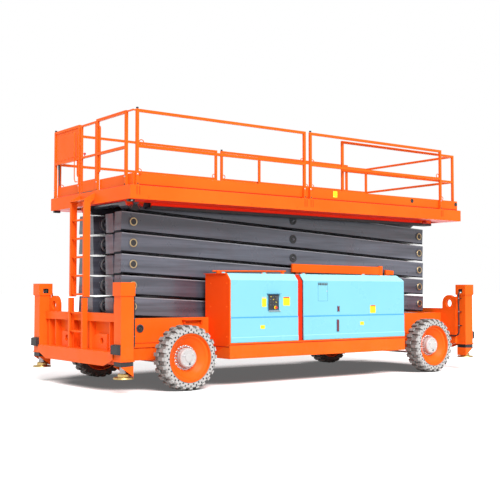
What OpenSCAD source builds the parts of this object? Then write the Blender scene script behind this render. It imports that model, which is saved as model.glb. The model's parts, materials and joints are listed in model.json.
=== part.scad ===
// Rough-terrain scissor lift on outriggers, parked with the stack down and the feet up.
// Millimetres, +Z up, +X along the machine away from the ladder end, origin on the ground.

/* [Overall] */
// Length over the bumpers
overall_len = 7440; // [7200:10:7700]
// Width over the tyres
overall_w = 3000; // [2900:5:3100]

/* [Wheels] */
// Tyre outside diameter
tyre_d = 942; // [900:2:980]
// Tyre width
tyre_w = 300; // [280:2:320]
// Rim diameter where the tyre sits
rim_d = 702; // [680:2:720]
// Hub drum diameter
hub_d = 276; // [270:2:300]
// Depth of the bolt flange behind the rim's edge
dish_in = 158; // [140:2:170]
// Depth of the hub face behind the rim's edge
hub_in = 50; // [40:2:60]
// Height of the tread lugs
lug_h = 30; // [20:1:36]
// Lugs in each of the two tread rows
lug_n = 24; // [20:1:28]
// Steering pin offset inboard of the wheel centre
king_off = 240; // [236:1:260]
// Space between a tyre and the outrigger post
wheel_room = 439; // [420:1:460]

/* [Scissor] */
// Height of one folded level
level_h = 315; // [300:1:330]
// Air between folded levels
level_gap = 32; // [28:1:40]
// Half of the free space between the inner arms
centre_room = 200; // [190:1:210]
// Gap between inner and outer arms
arm_gap = 31; // [26:1:36]
// How much wider the inner arms are than the outer ones
arm_diff = 32; // [20:1:40]
// Gap between the outer arms and the girders
arm_side = 17; // [15:1:20]
// Diameter of the pins
pin_d = 120; // [110:2:130]
// Height of the bottom pins
pivot_z = 890; // [880:1:900]
// Space from the bottom pins to the ends of the girders
pin_room = 364; // [350:1:380]
// Length of an arm past its pin at the ladder end
past_a = 200; // [190:1:210]
// Length of an arm past its pin at the far end
past_b = 110; // [100:1:120]
// Diameter of the rollers at the free ends
roller_d = 236; // [228:2:240]
// Length of the service prop
prop_len = 2000; // [1900:10:2100]
// Height of the service prop's tube
prop_h = 140; // [120:2:150]
// Width of the plated ring round a pin
ring_w = 22; // [16:1:30]

/* [Lift cylinders] */
// Barrel diameter
barrel_d = 176; // [160:2:190]
// Rod diameter
rod_d = 110; // [100:2:120]
// Place of the barrel pin along its arm
cyl_a = 4600; // [4560:10:4640]
// Distance along the arms between the two ends
cyl_span = 2810; // [2790:5:2830]

/* [Chassis] */
// Space between the steering pins and the girders
king_room = 225; // [215:1:235]
// Width of a side girder
girder_w = 195; // [190:1:200]
// Plate thickness of the girders
girder_t = 25; // [20:1:28]
// Underside of the floor
floor_z0 = 560; // [550:1:570]
// Top of the floor
floor_z1 = 620; // [610:1:626]
// Underside of the side skirts
skirt_z0 = 424; // [410:1:440]
// Depth of the end cross bar
bar_d = 145; // [135:1:155]
// How far a bumper stands out past its cross bar
bumper_out = 125; // [115:1:135]
// Top of the cross bars
bar_z1 = 1115; // [1105:1:1125]
// Height of a cross bar
bar_h = 120; // [100:1:140]
// Underside of the bumpers
bumper_z0 = 380; // [370:1:390]
// Top of the bumpers
bumper_z1 = 580; // [570:1:590]
// Eye of a lifting lug
lift_eye_d = 140; // [130:1:144]
// Eye of a lashing lug
lash_eye_d = 100; // [90:1:110]
// Distance of a lashing eye from mid machine
lash_y = 574; // [566:1:582]

/* [Outriggers] */
// Side of an outrigger post
post_w = 200; // [196:2:204]
// Distance of a post from the ends of the girders
post_set = 50; // [44:1:56]
// Distance of a post inside the tyre faces
post_in = 70; // [64:1:76]
// Top of the posts
post_top = 1555; // [1530:5:1580]
// Height of a post cap
cap_h = 190; // [170:2:210]
// Underside of the posts
post_bot = 455; // [450:1:470]
// Height of the wiper band
band_h = 63; // [56:1:70]
// Leg rod diameter
leg_d = 110; // [100:2:114]
// Underside of a foot when parked
foot_z = 218; // [210:1:226]
// Foot diameter
foot_d = 290; // [270:5:300]
// Thickness of the rubber pads on the posts
pad_t = 55; // [50:1:60]
// Hose diameter
hose_d = 26; // [20:1:30]

/* [Side boxes] */
// Distance of a side box inside the tyre faces
box_in = 50; // [44:1:56]
// Space between a tyre and the side boxes
box_room = 249; // [240:1:260]
// Underside of a tray
tray_z0 = 420; // [410:1:430]
// Foot of a hood
hood_z0 = 660; // [655:1:670]
// Top of a hood
hood_z1 = 1705; // [1690:1:1720]
// Middle of the divider from mid machine
div_at = -476; // [-490:1:-460]
// Width of the divider
div_w = 103; // [95:1:110]
// How far the divider lies behind the hoods' feet
div_in = 40; // [30:1:50]
// Thickness of the end walls
wall_t = 20; // [16:1:24]
// Sheet thickness of a hood
hood_t = 15; // [12:1:18]
// Gap around the hoods
hood_gap = 5; // [5:0.5:7]
// Slope of the hoods' upper edge across the machine
slope_y = 90; // [80:1:100]
// Slope of the hoods' upper edge in height
slope_z = 105; // [95:1:115]
// Diameter of the hood hinge pins
hinge_d = 20; // [16:1:22]

/* [Platform] */
// How far the platform runs past the girders at the ladder end
plat_over = 40; // [30:1:44]
// How far the platform runs past the girders at the far end
far_over = 110; // [100:1:120]
// Distance of the platform inside the tyre faces
plat_in = 204; // [198:1:210]
// Air between the stack and the deck
deck_air = 8.5; // [8:0.5:10]
// Height of the side channels
fascia_h = 192; // [180:1:200]
// Height of the toe boards over the deck
toe_h = 175; // [160:1:190]
// Height of the guard rail over the deck
rail_h = 1090; // [1060:2:1120]
// Height of the mid rail over the deck
mid_h = 560; // [540:2:580]
// Side of the square rail tube
tube_w = 40; // [36:1:44]
// How much lower the extension rail is
ext_drop = 48; // [46:1:52]
// Middle of the gap between the two rail sections
rail_split = -175; // [-190:1:-160]
// Half of the gap between the two rail sections
split_half = 65; // [60:1:70]
// Distance of the extension's rails from the second rail section
ext_set = 804; // [780:2:830]
// Distance of the toe boards inside the side channels
toe_in = 70; // [70:1:74]
// Gate post nearer the ladder side's end
gate_y0 = -196; // [-200:1:-190]
// Gate post with the hinges
gate_y1 = 398; // [390:1:404]
// Post at the chain bay
bay_y = -1065; // [-1070:1:-1060]
// Diameter of the gate hinge pins
gate_pin_d = 20; // [18:1:22]

/* [Ladder] */
// Near face of the ladder
lad_y0 = -228; // [-234:1:-222]
// Width of the ladder
lad_w = 486; // [476:2:496]
// Depth of a ladder stile
lad_d = 100; // [90:1:110]
// How far the upper ladder stands out from the platform
lad_out = 170; // [165:1:180]
// Foot of the upper ladder
lad_z0 = 1350; // [1340:2:1360]
// Rung pitch
rung_p = 280; // [270:2:290]
// Rung diameter
rung_d = 32; // [28:1:36]

/* [Clearances] */
// Radial play of pins in their bores
pin_gap = 0.3; // [0.2:0.05:0.5]
// Air between moving pieces
air = 6; // [5:0.5:7]

/* [Hidden] */
$fn = 48;
end_x = overall_len / 2;
bar_x = end_x - bumper_out;
girder_x = bar_x - bar_d;
post_r = post_w / 2;
post_x = girder_x + post_set + post_r;
post_y = overall_w / 2 - post_in - post_r;
plate_y = post_y - post_r;
pin_x = girder_x - pin_room;
arm_len = sqrt(4 * pin_x * pin_x + level_h * level_h);
stow = asin(level_h / arm_len);
half_d = (level_h - level_gap) / 2;
axle_x = post_x - post_r - wheel_room - tyre_d / 2;
axle_z = tyre_d / 2;
wheel_y = overall_w / 2 - tyre_w / 2;
king_y = wheel_y - king_off;
girder_y1 = king_y - king_room;
girder_y0 = girder_y1 - girder_w;
outer_y1 = girder_y0 - arm_side;
inner_y0 = centre_room;
inner_y1 = inner_y0 + (outer_y1 - inner_y0 - arm_gap + arm_diff) / 2;
outer_y0 = inner_y1 + arm_gap;
pin_r = pin_d / 2;
bore_r = pin_r + pin_gap;
ring_r = pin_r + ring_w;
roller_r = roller_d / 2;
top_roller_r = roller_r - 18;
track_z = pivot_z - roller_r - 1;
girder_top = pivot_z + roller_r + air + 20;
top_z = pivot_z + 6 * level_h;
up_track_z = top_z - top_roller_r - 1;
cyl_b = cyl_a - cyl_span;
cyl_dx = -cyl_span * cos(stow);
cyl_dz = level_h - cyl_span * sin(stow);
cyl_len = sqrt(cyl_dx * cyl_dx + cyl_dz * cyl_dz);
cyl_ang = 180 - atan(cyl_dz / -cyl_dx);
fork_in = 290;
lug_back = 290;
box_x = axle_x - tyre_d / 2 - box_room;
box_y = overall_w / 2 - box_in;
div_x0 = div_at - div_w / 2;
div_x1 = div_at + div_w / 2;
line_z = hood_z0 + 370;
step_z = hood_z0 + 75;
hinge_r = hinge_d / 2;
hinge_y = girder_y1 + hinge_r;
hinge_z = hood_z1 + hinge_r + 2;
plat_x = girder_x + plat_over;
far_x = girder_x + far_over;
plat_y = overall_w / 2 - plat_in;
deck_z = top_z + half_d + deck_air;
deck_top = deck_z + 10;
plat_z0 = deck_z - fascia_h;
seam_z = deck_top + 5;
toe_z = deck_top + toe_h;
rail_z = deck_top + rail_h;
mid_z = deck_top + mid_h;
tube_r = tube_w / 2;
rail_y = plat_y - 2 * tube_r - 2;
rail_x0 = -plat_x + 130;
rail_x1 = far_x - 517;
end_rail_x = -plat_x + 60;
toe_y = plat_y - toe_in;
toe_x = end_rail_x + tube_r + 4;
ext_y = rail_y - tube_w - air - 34;
ext_x0 = rail_split + split_half + ext_set;
ext_z = deck_top + air;
hinge_gate_y = gate_y1 - tube_r - gate_pin_d;
arm_z0 = axle_z - 105;
hose_x = girder_x - hose_d / 2 - 2;
orange = [0.93, 0.33, 0.06];
dark = [0.22, 0.23, 0.25];
cyan = [0.55, 0.80, 0.88];
steel = [0.72, 0.73, 0.75];
brass = [0.75, 0.58, 0.30];
tyre_c = [0.70, 0.70, 0.68];

module box(x0, x1, y0, y1, z0, z1) {
  translate([x0, y0, z0]) cube([x1 - x0, y1 - y0, z1 - z0]);
}
module xcyl(x0, x1, y, z, r) {
  translate([x0, y, z]) rotate([0, 90, 0]) cylinder(r = r, h = x1 - x0);
}
module ycyl(x, z, y0, y1, r) {
  translate([x, y0, z]) rotate([-90, 0, 0]) cylinder(r = r, h = y1 - y0);
}
module zcyl(x, y, z0, z1, r) {
  translate([x, y, z0]) cylinder(r = r, h = z1 - z0);
}
// Profile drawn in Y and Z, run along X
module along_x(x0, x1) {
  translate([x0, 0, 0]) rotate([90, 0, 90]) linear_extrude(x1 - x0) children();
}
// Profile drawn in X and Z, run along Y
module along_y(y0, y1) {
  translate([0, y1, 0]) rotate([90, 0, 0]) linear_extrude(y1 - y0) children();
}
// Profile drawn in X and Y, run along Z
module along_z(z0, z1) {
  translate([0, 0, z0]) linear_extrude(z1 - z0) children();
}
module rect(x0, x1, y0, y1) {
  translate([x0, y0]) square([x1 - x0, y1 - y0]);
}
module both_y() {
  children();
  mirror([0, 1, 0]) children();
}
module both_x() {
  children();
  mirror([1, 0, 0]) children();
}
module end_of(s) {
  mirror([s < 0 ? 1 : 0, 0, 0]) children();
}
module side_of(s) {
  mirror([0, s < 0 ? 1 : 0, 0]) children();
}

// Chassis: two folded girders with the roller tracks, a ribbed floor, the fixed bottom shaft
module girder_profile() {
  difference() {
    rect(girder_y0, girder_y1, floor_z0, girder_top);
    rect(girder_y0 - 1, girder_y1 - girder_t, track_z, girder_top - 20);
    rect(girder_y0 + 20, girder_y1 - girder_t, floor_z0 + girder_t, track_z - girder_t);
  }
}
module shaft_plate() {
  along_y(girder_y0, girder_y0 + 40) polygon([[-pin_x - 200, track_z - 5], [-pin_x + 260, track_z - 5],
    [-pin_x + 140, girder_top - 10], [-pin_x - 140, girder_top - 10]]);
}
module chassis_frame() {
  ribs = 8;
  rib_p = 2 * girder_x / ribs;
  color(orange) union() {
    both_y() {
      along_x(-girder_x, girder_x) girder_profile();
      shaft_plate();
      both_x() {
        box(axle_x + 130, girder_x, girder_y1 - girder_t, girder_y1, skirt_z0, floor_z0 + 5);
        box(box_x + 12, girder_x, girder_y1 - 5, girder_y1 + 8, floor_z0 + 42, floor_z0 + 118);
      }
    }
    box(-girder_x, girder_x, -girder_y0 - 5, girder_y0 + 5, floor_z1 - 20, floor_z1);
    for (i = [0:ribs]) {
      x = min(max(-girder_x + i * rib_p, -girder_x + 60), girder_x - 60);
      box(x - 60, x + 60, -girder_y0 - 5, girder_y0 + 5, floor_z0, floor_z1 - 10);
    }
    ycyl(-pin_x, pivot_z, -girder_y1 - 14, girder_y1 + 14, pin_r);
  }
}

// End frame: posts, cross bar, ribbed recess, lugs and a hollow bumper with cut-off corners
module post_tube() {
  cap_r = post_r + 15;
  slot_z = post_top - cap_h + 34;
  difference() {
    union() {
      along_z(post_bot, post_top) translate([post_x, post_y]) square(post_w, center = true);
      along_z(post_top - cap_h, post_top) translate([post_x, post_y]) square(2 * cap_r, center = true);
      along_z(post_bot, post_bot + 18) translate([post_x, post_y]) square(2 * post_r + 24, center = true);
      along_z(post_bot - band_h, post_bot + 2) translate([post_x, post_y]) square(post_w - 4, center = true);
      foot_guard();
    }
    along_z(post_bot + 60, post_top - 12) translate([post_x, post_y]) square(post_w - 40, center = true);
    zcyl(post_x, post_y, post_bot - band_h - 10, post_bot + 70, leg_d / 2 + pin_gap);
    box(post_x - cap_r - 1, post_x - 40, post_y - 45, post_y + 45, slot_z, slot_z + 76);
    box(post_x - 45, post_x + 45, post_y - cap_r - 1, post_y - 40, slot_z, slot_z + 76);
  }
}
// Guard on the inner side of a foot, with two sloped cheeks
module foot_guard() {
  z1 = post_bot - band_h + 4;
  z0 = foot_z + 34;
  box(post_x - post_r, post_x - post_r + 8, post_y - post_r, post_y + post_r, z0, z1);
  for (y = [post_y - post_r, post_y + post_r - 8]) along_y(y, y + 8)
    polygon([[post_x - post_r, z0], [post_x + post_r, z1 - 10], [post_x + post_r, z1], [post_x - post_r, z1]]);
}
module post_pad() {
  w = post_r - 6;
  x0 = post_x + post_r - 2;
  x1 = post_x + post_r + pad_t;
  along_y(post_y - w, post_y + w) polygon([[x0, post_bot + 95], [x1, post_bot + 107], [x1, post_bot + 228],
    [x0, post_bot + 240]]);
}
// Hose from the cap's slot down the post and into the girder
module hose() {
  r = hose_d / 2;
  bend_t = post_x - post_r - hose_x;
  bend_b = 90;
  z1 = post_top - cap_h + 72;
  z0 = floor_z0 + 50;
  xcyl(post_x - post_r, post_x - post_r + 14, post_y, z1, r);
  translate([post_x - post_r, post_y, z1 - bend_t]) rotate([90, 0, 180]) rotate_extrude(angle = 90)
    translate([bend_t, 0]) circle(r);
  zcyl(hose_x, post_y, z0 + bend_b, z1 - bend_t, r);
  translate([hose_x, post_y - bend_b, z0 + bend_b]) rotate([0, 90, 0]) rotate_extrude(angle = 90)
    translate([bend_b, 0]) circle(r);
  ycyl(hose_x, z0, girder_y1 + 8.3, post_y - bend_b, r);
}
module lift_lug() {
  r = lift_eye_d / 2 + 85;
  y = plate_y - 170;
  z = bar_z1 + 95;
  difference() {
    union() {
      box(girder_x + 20, girder_x + 80, y - r, plate_y + 5, bar_z1 - 20, z);
      box(girder_x + 20, girder_x + 80, y, plate_y + 5, z - 5, z + r - 30);
      xcyl(girder_x + 20, girder_x + 80, y, z, r);
    }
    xcyl(girder_x, girder_x + 100, y, z, lift_eye_d / 2);
  }
}
module lash_lug() {
  corner = 150;
  y0 = lash_y - 274;
  y1 = lash_y + 160;
  z = bumper_z1 + 130;
  z1 = z + lash_eye_d / 2 + 55;
  x1 = girder_x + 90;
  difference() {
    union() {
      box(x1 - 40, x1, y0, y1, bumper_z1 - 10, z1 - corner);
      box(x1 - 40, x1, y0 + corner, y1, bumper_z1 - 10, z1);
      xcyl(x1 - 40, x1, y0 + corner, z1 - corner, corner);
    }
    xcyl(x1 - 60, x1 + 20, lash_y, z, lash_eye_d / 2);
  }
}
module bumper() {
  t = 22;
  a = plate_y;
  b = plate_y - 280;
  zc = bumper_z0 + 100;
  difference() {
    along_x(girder_x + 30, end_x) polygon([[-a, zc], [-a, bumper_z1], [a, bumper_z1], [a, zc],
      [b, bumper_z0], [-b, bumper_z0]]);
    along_x(girder_x + 70, end_x - t) polygon([[-a - 1, zc - 90], [-a - 1, bumper_z1 - t],
      [a + 1, bumper_z1 - t], [a + 1, zc - 90], [b, bumper_z0 - 90], [-b, bumper_z0 - 90]]);
  }
  for (y = [-0.75, -0.3, 0.3, 0.75] * b)
    box(girder_x + 60, end_x - t + 5, y - 8, y + 8, bumper_z0 + 30, bumper_z1 - 5);
}
module end_frame() {
  color(orange) union() {
    box(girder_x, girder_x + 40, -plate_y, plate_y, bumper_z0 + 90, bar_z1 - bar_h + 10);
    difference() {
      box(girder_x, bar_x, -plate_y, plate_y, bar_z1 - bar_h, bar_z1);
      box(girder_x + 30, bar_x - 20, -plate_y + 40, plate_y - 40, bar_z1 - bar_h - 1, bar_z1 - 16);
    }
    bumper();
    both_y() {
      post_tube();
      post_pad();
      hose();
      lift_lug();
      lash_lug();
      box(girder_x, post_x, plate_y - 5, plate_y + 2, bumper_z0 + 95, bar_z1);
      for (y = [270, plate_y - 360, plate_y - 110])
        box(girder_x + 35, bar_x - 14, y, y + 24, bumper_z1 - 5, bar_z1 - bar_h + 5);
    }
  }
}
module end_frame_front() {
  end_of(-1) end_frame();
}
module end_frame_rear() {
  end_frame();
}

// Outrigger leg: rod, guide head and two-tier foot
module leg() {
  r = foot_d / 2;
  color(brass) union() {
    zcyl(post_x, post_y, foot_z + 70, post_top - 110, leg_d / 2);
    along_z(post_top - 120, post_top - 60) translate([post_x, post_y]) square(post_w - 52, center = true);
    translate([post_x, post_y, foot_z]) rotate_extrude() polygon([[0, 0], [r, 0], [r, 10], [r - 10, 24],
      [r - 58, 27], [r - 64, 33], [r - 64, 62], [r - 76, 76], [0, 80]]);
  }
}
module leg_fl() {
  end_of(-1) side_of(-1) leg();
}
module leg_fr() {
  end_of(-1) leg();
}
module leg_rl() {
  side_of(-1) leg();
}
module leg_rr() {
  leg();
}

// Side boxes: an open tray with end walls and a divider, closed by two folded hoods
module box_wall(x0, x1, d, top) {
  y0 = girder_y1 + 2;
  along_x(x0, x1) polygon([[y0, tray_z0], [box_y - d, tray_z0], [box_y - d, top - slope_z],
    [box_y - slope_y - d, top], [y0, top]]);
}
// Wall at the ladder end: it closes the hood, reaches in over the girder and carries a lip
module ladder_end_wall() {
  y0 = girder_y1 - 85;
  box_wall(-box_x, -box_x + wall_t, 8, hood_z1 - 4);
  box(-box_x, -box_x + wall_t, y0, girder_y1 + 20, girder_top + 5, hood_z1 - 4);
  box(-box_x - 25, -box_x + wall_t, y0 - 10, box_y - slope_y - 15, hood_z1 - 8, hood_z1);
}
module tray() {
  inside = 14 + hood_t + air;
  color(orange) union() {
    along_x(-box_x, box_x) difference() {
      rect(girder_y1, box_y, tray_z0, hood_z0 - hood_gap);
      rect(girder_y1 + 15, box_y - 15, tray_z0 + 30, hood_z0 + 10);
    }
    along_x(-box_x, box_x) rect(girder_y1, girder_y1 + 15, tray_z0, hood_z1 - 30);
    ladder_end_wall();
    box_wall(box_x - wall_t - 4, box_x - 4, inside, hood_z1 - inside);
    box_wall(div_x0, div_x1, div_in, hood_z1 - 8);
    for (x = [-box_x + 150, div_x0 - 120, div_x1 + 120, box_x - 150])
      along_x(x - 6, x + 6) polygon([[girder_y1 + 10, tray_z0 + 25], [girder_y1 + 130, tray_z0 + 25],
        [girder_y1 + 10, hood_z0 + 60]]);
    hinge_pins(-box_x, div_x0);
    hinge_pins(div_x1, box_x);
  }
}
function hinge_at(x0, x1) = [x0 + 0.2 * (x1 - x0), x0 + 0.8 * (x1 - x0)];
module hinge_pins(x0, x1) {
  for (x = hinge_at(x0, x1)) {
    xcyl(x - 48, x + 48, hinge_y, hinge_z, hinge_r);
    for (e = [x - 42, x + 42]) box(e - 6, e + 6, girder_y1, girder_y1 + 20, hood_z1 - 35, hinge_z + 14);
  }
}
module hinge_eye(x) {
  difference() {
    union() {
      xcyl(x - 30, x + 30, hinge_y, hinge_z, hinge_r + 8);
      box(x - 30, x + 30, hinge_y, hinge_y + 50, hood_z1 - 2, hood_z1 + 10);
    }
    xcyl(x - 40, x + 40, hinge_y, hinge_z, hinge_r + pin_gap);
  }
}
module tray_left() {
  side_of(-1) tray();
}
module tray_right() {
  tray();
}
// Folded sheet with a stepped foot, a body line and a sloped upper edge, drawn at an offset
module hood_profile() {
  t = hood_t;
  y0 = girder_y1 + 25;
  z2 = hood_z1 - slope_z;
  polygon([[box_y, hood_z0], [box_y, step_z], [box_y - 7, step_z + 8], [box_y - 7, line_z],
    [box_y - 14, line_z + 8], [box_y - 14, z2], [box_y - 14 - slope_y, hood_z1], [y0, hood_z1], [y0, hood_z1 - t],
    [box_y - 20 - slope_y, hood_z1 - t], [box_y - 14 - t, z2 - 6], [box_y - 14 - t, hood_z0]]);
}
// Hood from x0 to x1, hung in the bay from b0 to b1, with its upper corner cut off at the far end
module hood(x0, x1, b0, b1, cut) {
  c = cut ? slope_y : 0;
  d = cut ? slope_z * 0.75 : 0;
  color(cyan) union() {
    intersection() {
      along_x(x0, x1) hood_profile();
      along_y(girder_y1, box_y + 1) polygon([[x0, hood_z0 - 1], [x1, hood_z0 - 1], [x1, hood_z1 + 1 - d],
        [x1 - c, hood_z1 + 1], [x0, hood_z1 + 1]]);
    }
    for (x = hinge_at(b0, b1)) hinge_eye(x);
  }
}
module hood_f() {
  hood(-box_x + wall_t + hood_gap, div_x0 - hood_gap, -box_x, div_x0, false);
}
module hood_r() {
  hood(div_x1 + hood_gap, box_x, div_x1, box_x, true);
}
module hood_lf() {
  side_of(-1) hood_f();
}
module hood_lr() {
  side_of(-1) hood_r();
}
module hood_rf() {
  hood_f();
}
module hood_rr() {
  hood_r();
}

// Engine in the left rear box, tanks in the others
module engine() {
  y = (girder_y1 + box_y) / 2;
  x = div_x1 + 525;
  z = tray_z0 + 30;
  color(dark) side_of(-1) union() {
    along_x(x, x + 900) polygon([[y - 165, z], [y + 165, z], [y + 165, z + 160], [y + 125, z + 330],
      [y - 125, z + 330], [y - 165, z + 160]]);
    along_x(x + 80, x + 800) polygon([[y - 125, z + 325], [y + 125, z + 325], [y + 110, z + 730],
      [y - 110, z + 730]]);
    for (i = [0:3]) zcyl(x + 170 + i * 180, y, z + 725, z + 800, 70);
    xcyl(x - 200, x + 10, y, z + 250, 190);
    xcyl(x + 890, x + 990, y, z + 330, 90);
    xcyl(x + 985, x + 1005, y, z + 330, 200);
    box(x + 1040, x + 1100, y - 210, y + 210, z, z + 850);
    box(x + 880, x + 1050, y - 30, y + 30, z + 100, z + 160);
  }
}
module tank(x0, x1, h, s) {
  y0 = girder_y1 + 75;
  y1 = box_y - 70;
  z = tray_z0 + 30;
  side_of(s) union() {
    along_x(x0, x1) polygon([[y0, z], [y1, z], [y1, z + h - 60], [y1 - 60, z + h], [y0, z + h]]);
    for (x = [x0 + 180, x1 - 180]) along_x(x - 25, x + 25) rect(y0 - 6, y1 + 6, z, z + h - 70);
    zcyl((x0 + x1) / 2, y0 + 160, z + h - 5, z + h + 40, 60);
  }
}
module tanks() {
  color(steel) {
    tank(div_x1 + 225, div_x1 + 1125, 700, 1);
    tank(-box_x + 170, div_x0 - 270, 800, 1);
    tank(-box_x + 220, div_x0 - 370, 450, -1);
  }
}

// Axles: a tapered beam with steering heads
module axle() {
  b = king_y - 110;
  c = girder_y1 - 20;
  color(dark) difference() {
    union() {
      along_x(-110, 110) polygon([[-b, axle_z - 70], [-c, axle_z - 95], [c, axle_z - 95], [b, axle_z - 70],
        [b, axle_z + 70], [c, floor_z0], [-c, floor_z0], [-b, axle_z + 70]]);
      xcyl(-190, 190, 0, axle_z - 10, 85);
      both_y() {
        zcyl(0, king_y, axle_z - 70, axle_z + 70, 70);
        box(-60, 60, b - 20, king_y, axle_z - 70, axle_z + 70);
      }
    }
    both_y() zcyl(0, king_y, axle_z - 200, axle_z + 200, 30 + pin_gap);
  }
}
module axle_front() {
  translate([-axle_x, 0, 0]) axle();
}
module axle_rear() {
  translate([axle_x, 0, 0]) axle();
}

// Steering knuckle: forked body with its pin, spindle and arm toward mid machine
module knuckle(s) {
  k = king_y;
  z = axle_z;
  color(dark) union() {
    zcyl(0, k, arm_z0, z + 105, 30);
    along_x(-70, 70) polygon([[k - 50, z + 76], [k - 50, z + 105], [k + 95, z + 105], [k + 120, z + 80],
      [k + 120, z - 80], [k + 95, arm_z0], [k - 50, arm_z0], [k - 50, z - 76], [k + 76, z - 76],
      [k + 76, z + 76]]);
    ycyl(0, z, k + 110, wheel_y + 60, 70);
    mirror([s > 0 ? 1 : 0, 0, 0]) {
      along_z(arm_z0, z - 76) polygon([[60, k - 48], [190, k - 34], [190, k + 34], [60, k + 48]]);
      zcyl(190, k, arm_z0, z - 76, 40);
      zcyl(190, k, arm_z0 - 46, arm_z0 + 10, 20);
    }
  }
}
module knuckle_fl() {
  translate([-axle_x, 0, 0]) side_of(-1) knuckle(-1);
}
module knuckle_fr() {
  translate([-axle_x, 0, 0]) knuckle(-1);
}
module knuckle_rl() {
  translate([axle_x, 0, 0]) side_of(-1) knuckle(1);
}
module knuckle_rr() {
  translate([axle_x, 0, 0]) knuckle(1);
}
module tie_rod() {
  z1 = arm_z0 - 6;
  color(steel) difference() {
    union() {
      ycyl(190, z1 - 18, -king_y + 20, king_y - 20, 17);
      both_y() zcyl(190, king_y, z1 - 36, z1, 42);
    }
    both_y() zcyl(190, king_y, z1 - 60, z1 + 20, 20 + pin_gap);
  }
}
module tie_rod_front() {
  translate([-axle_x, 0, 0]) tie_rod();
}
module tie_rod_rear() {
  translate([axle_x, 0, 0]) mirror([1, 0, 0]) tie_rod();
}

// Wheels: revolved rim with a deep dish, bolt flange and planetary hub
module rim() {
  r = rim_d / 2;
  h = tyre_w / 2;
  e = h - 12;
  f = e - dish_in;
  g = e - hub_in;
  k = hub_d / 2;
  color(orange) difference() {
    union() {
      rotate([-90, 0, 0]) rotate_extrude($fn = 64)
        polygon([[r - 16, -h + 25], [r, -h + 25], [r, e], [r - 8, e], [r - 16, e - 20]]);
      rotate([-90, 0, 0]) rotate_extrude($fn = 64)
        polygon([[k + 40, f], [r - 60, e - 70], [r - 50, e - 52], [r - 10, e - 40], [r - 10, e - 60],
          [r - 40, e - 70], [r - 48, e - 88], [k + 40, f - 20]]);
      ycyl(0, 0, f - 22, f, k + 48);
      ycyl(0, 0, -60, f - 10, k + 10);
      rotate([-90, 0, 0]) rotate_extrude() polygon([[0, f - 1], [k, f - 1], [k, g - 12], [k - 14, g], [0, g]]);
    }
    ycyl(0, 0, -200, 66, 70 + pin_gap);
  }
}
// Tyre: revolved carcass with two staggered rows of slanted lugs over the shoulders
module tread_lug(w) {
  t = tyre_d / 2;
  h = tyre_w / 2;
  along_x(-w / 2, w / 2) polygon([[5, lug_h - t + 14], [5, -t], [h - 34, -t], [h, lug_h - t - 4],
    [h, lug_h * 1.6 - t]]);
}
module tyre() {
  r = rim_d / 2;
  t = tyre_d / 2 - lug_h;
  h = tyre_w / 2 - 8;
  s = t - r;
  w = 0.42 * 3.1416 * tyre_d / lug_n;
  color(tyre_c) union() {
    rotate([-90, 0, 0]) rotate_extrude($fn = 64)
      polygon([[r, 17 - h], [r + 0.12 * s, -h], [t - 0.25 * s, -h], [t, 0.3 * s - h], [t, h - 0.3 * s],
        [t - 0.25 * s, h], [r + 0.12 * s, h], [r, h - 17]]);
    for (i = [0:lug_n - 1]) {
      rotate([0, 360 / lug_n * i, 0]) tread_lug(w);
      rotate([0, 360 / lug_n * (i + 0.5), 0]) mirror([0, 1, 0]) tread_lug(w);
    }
  }
}
module at_wheel(sx, sy) {
  translate([sx * axle_x, sy * wheel_y, axle_z]) side_of(sy) children();
}
module rim_fl() {
  at_wheel(-1, -1) rim();
}
module rim_fr() {
  at_wheel(-1, 1) rim();
}
module rim_rl() {
  at_wheel(1, -1) rim();
}
module rim_rr() {
  at_wheel(1, 1) rim();
}
module tyre_fl() {
  at_wheel(-1, -1) tyre();
}
module tyre_fr() {
  at_wheel(-1, 1) tyre();
}
module tyre_rl() {
  at_wheel(1, -1) tyre();
}
module tyre_rr() {
  at_wheel(1, 1) tyre();
}

// Scissor arms: inner pairs rise away from the ladder end, outer pairs fall away from it
module arm_pair(y0, y1, round_a, round_b) {
  both_y() {
    box(round_a ? 0 : -past_a, round_b ? arm_len : arm_len + past_b, y0, y1, -half_d, half_d);
    if (round_a) ycyl(0, 0, y0, y1, half_d);
    if (round_b) ycyl(arm_len, 0, y0, y1, half_d);
  }
}
module on_inner(k) {
  translate([-pin_x, 0, pivot_z + (k - 1) * level_h]) rotate([0, -stow, 0]) children();
}
module on_outer(k) {
  translate([-pin_x, 0, pivot_z + k * level_h]) rotate([0, stow, 0]) children();
}
module inner_arm(k) {
  low_cyl = k == 1 || k == 4;
  high_cyl = k == 2 || k == 5;
  tie_x = low_cyl ? cyl_a : high_cyl ? cyl_b - lug_back : arm_len * 0.72;
  color(dark) on_inner(k) difference() {
    union() {
      arm_pair(inner_y0, inner_y1, false, k == 6);
      if (k < 6) ycyl(arm_len, 0, -outer_y1 - 12, outer_y1 + 12, pin_r);
      if (k == 6) ycyl(arm_len, 0, -girder_y1 + 40, girder_y1 - 40, pin_r);
      if (k == 6) both_y() ycyl(arm_len, 0, girder_y0 + 15, girder_y1 - 40, top_roller_r);
      ycyl(tie_x, 0, -inner_y0 - 10, inner_y0 + 10, low_cyl ? 40 : 52);
      if (high_cyl) box(cyl_b - lug_back, cyl_b + 55, -30, 30, -48, 48);
      both_y() ycyl(arm_len / 2, 0, inner_y0 - 14, inner_y0 + 2, ring_r + 20);
      both_y() ycyl(0, 0, inner_y0 - 14, inner_y0 + 2, ring_r + 20);
    }
    ycyl(0, 0, -inner_y1 - 10, inner_y1 + 10, bore_r);
    both_y() ycyl(arm_len / 2, 0, inner_y0 - 20, inner_y1 + 10, bore_r);
  }
}
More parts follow.
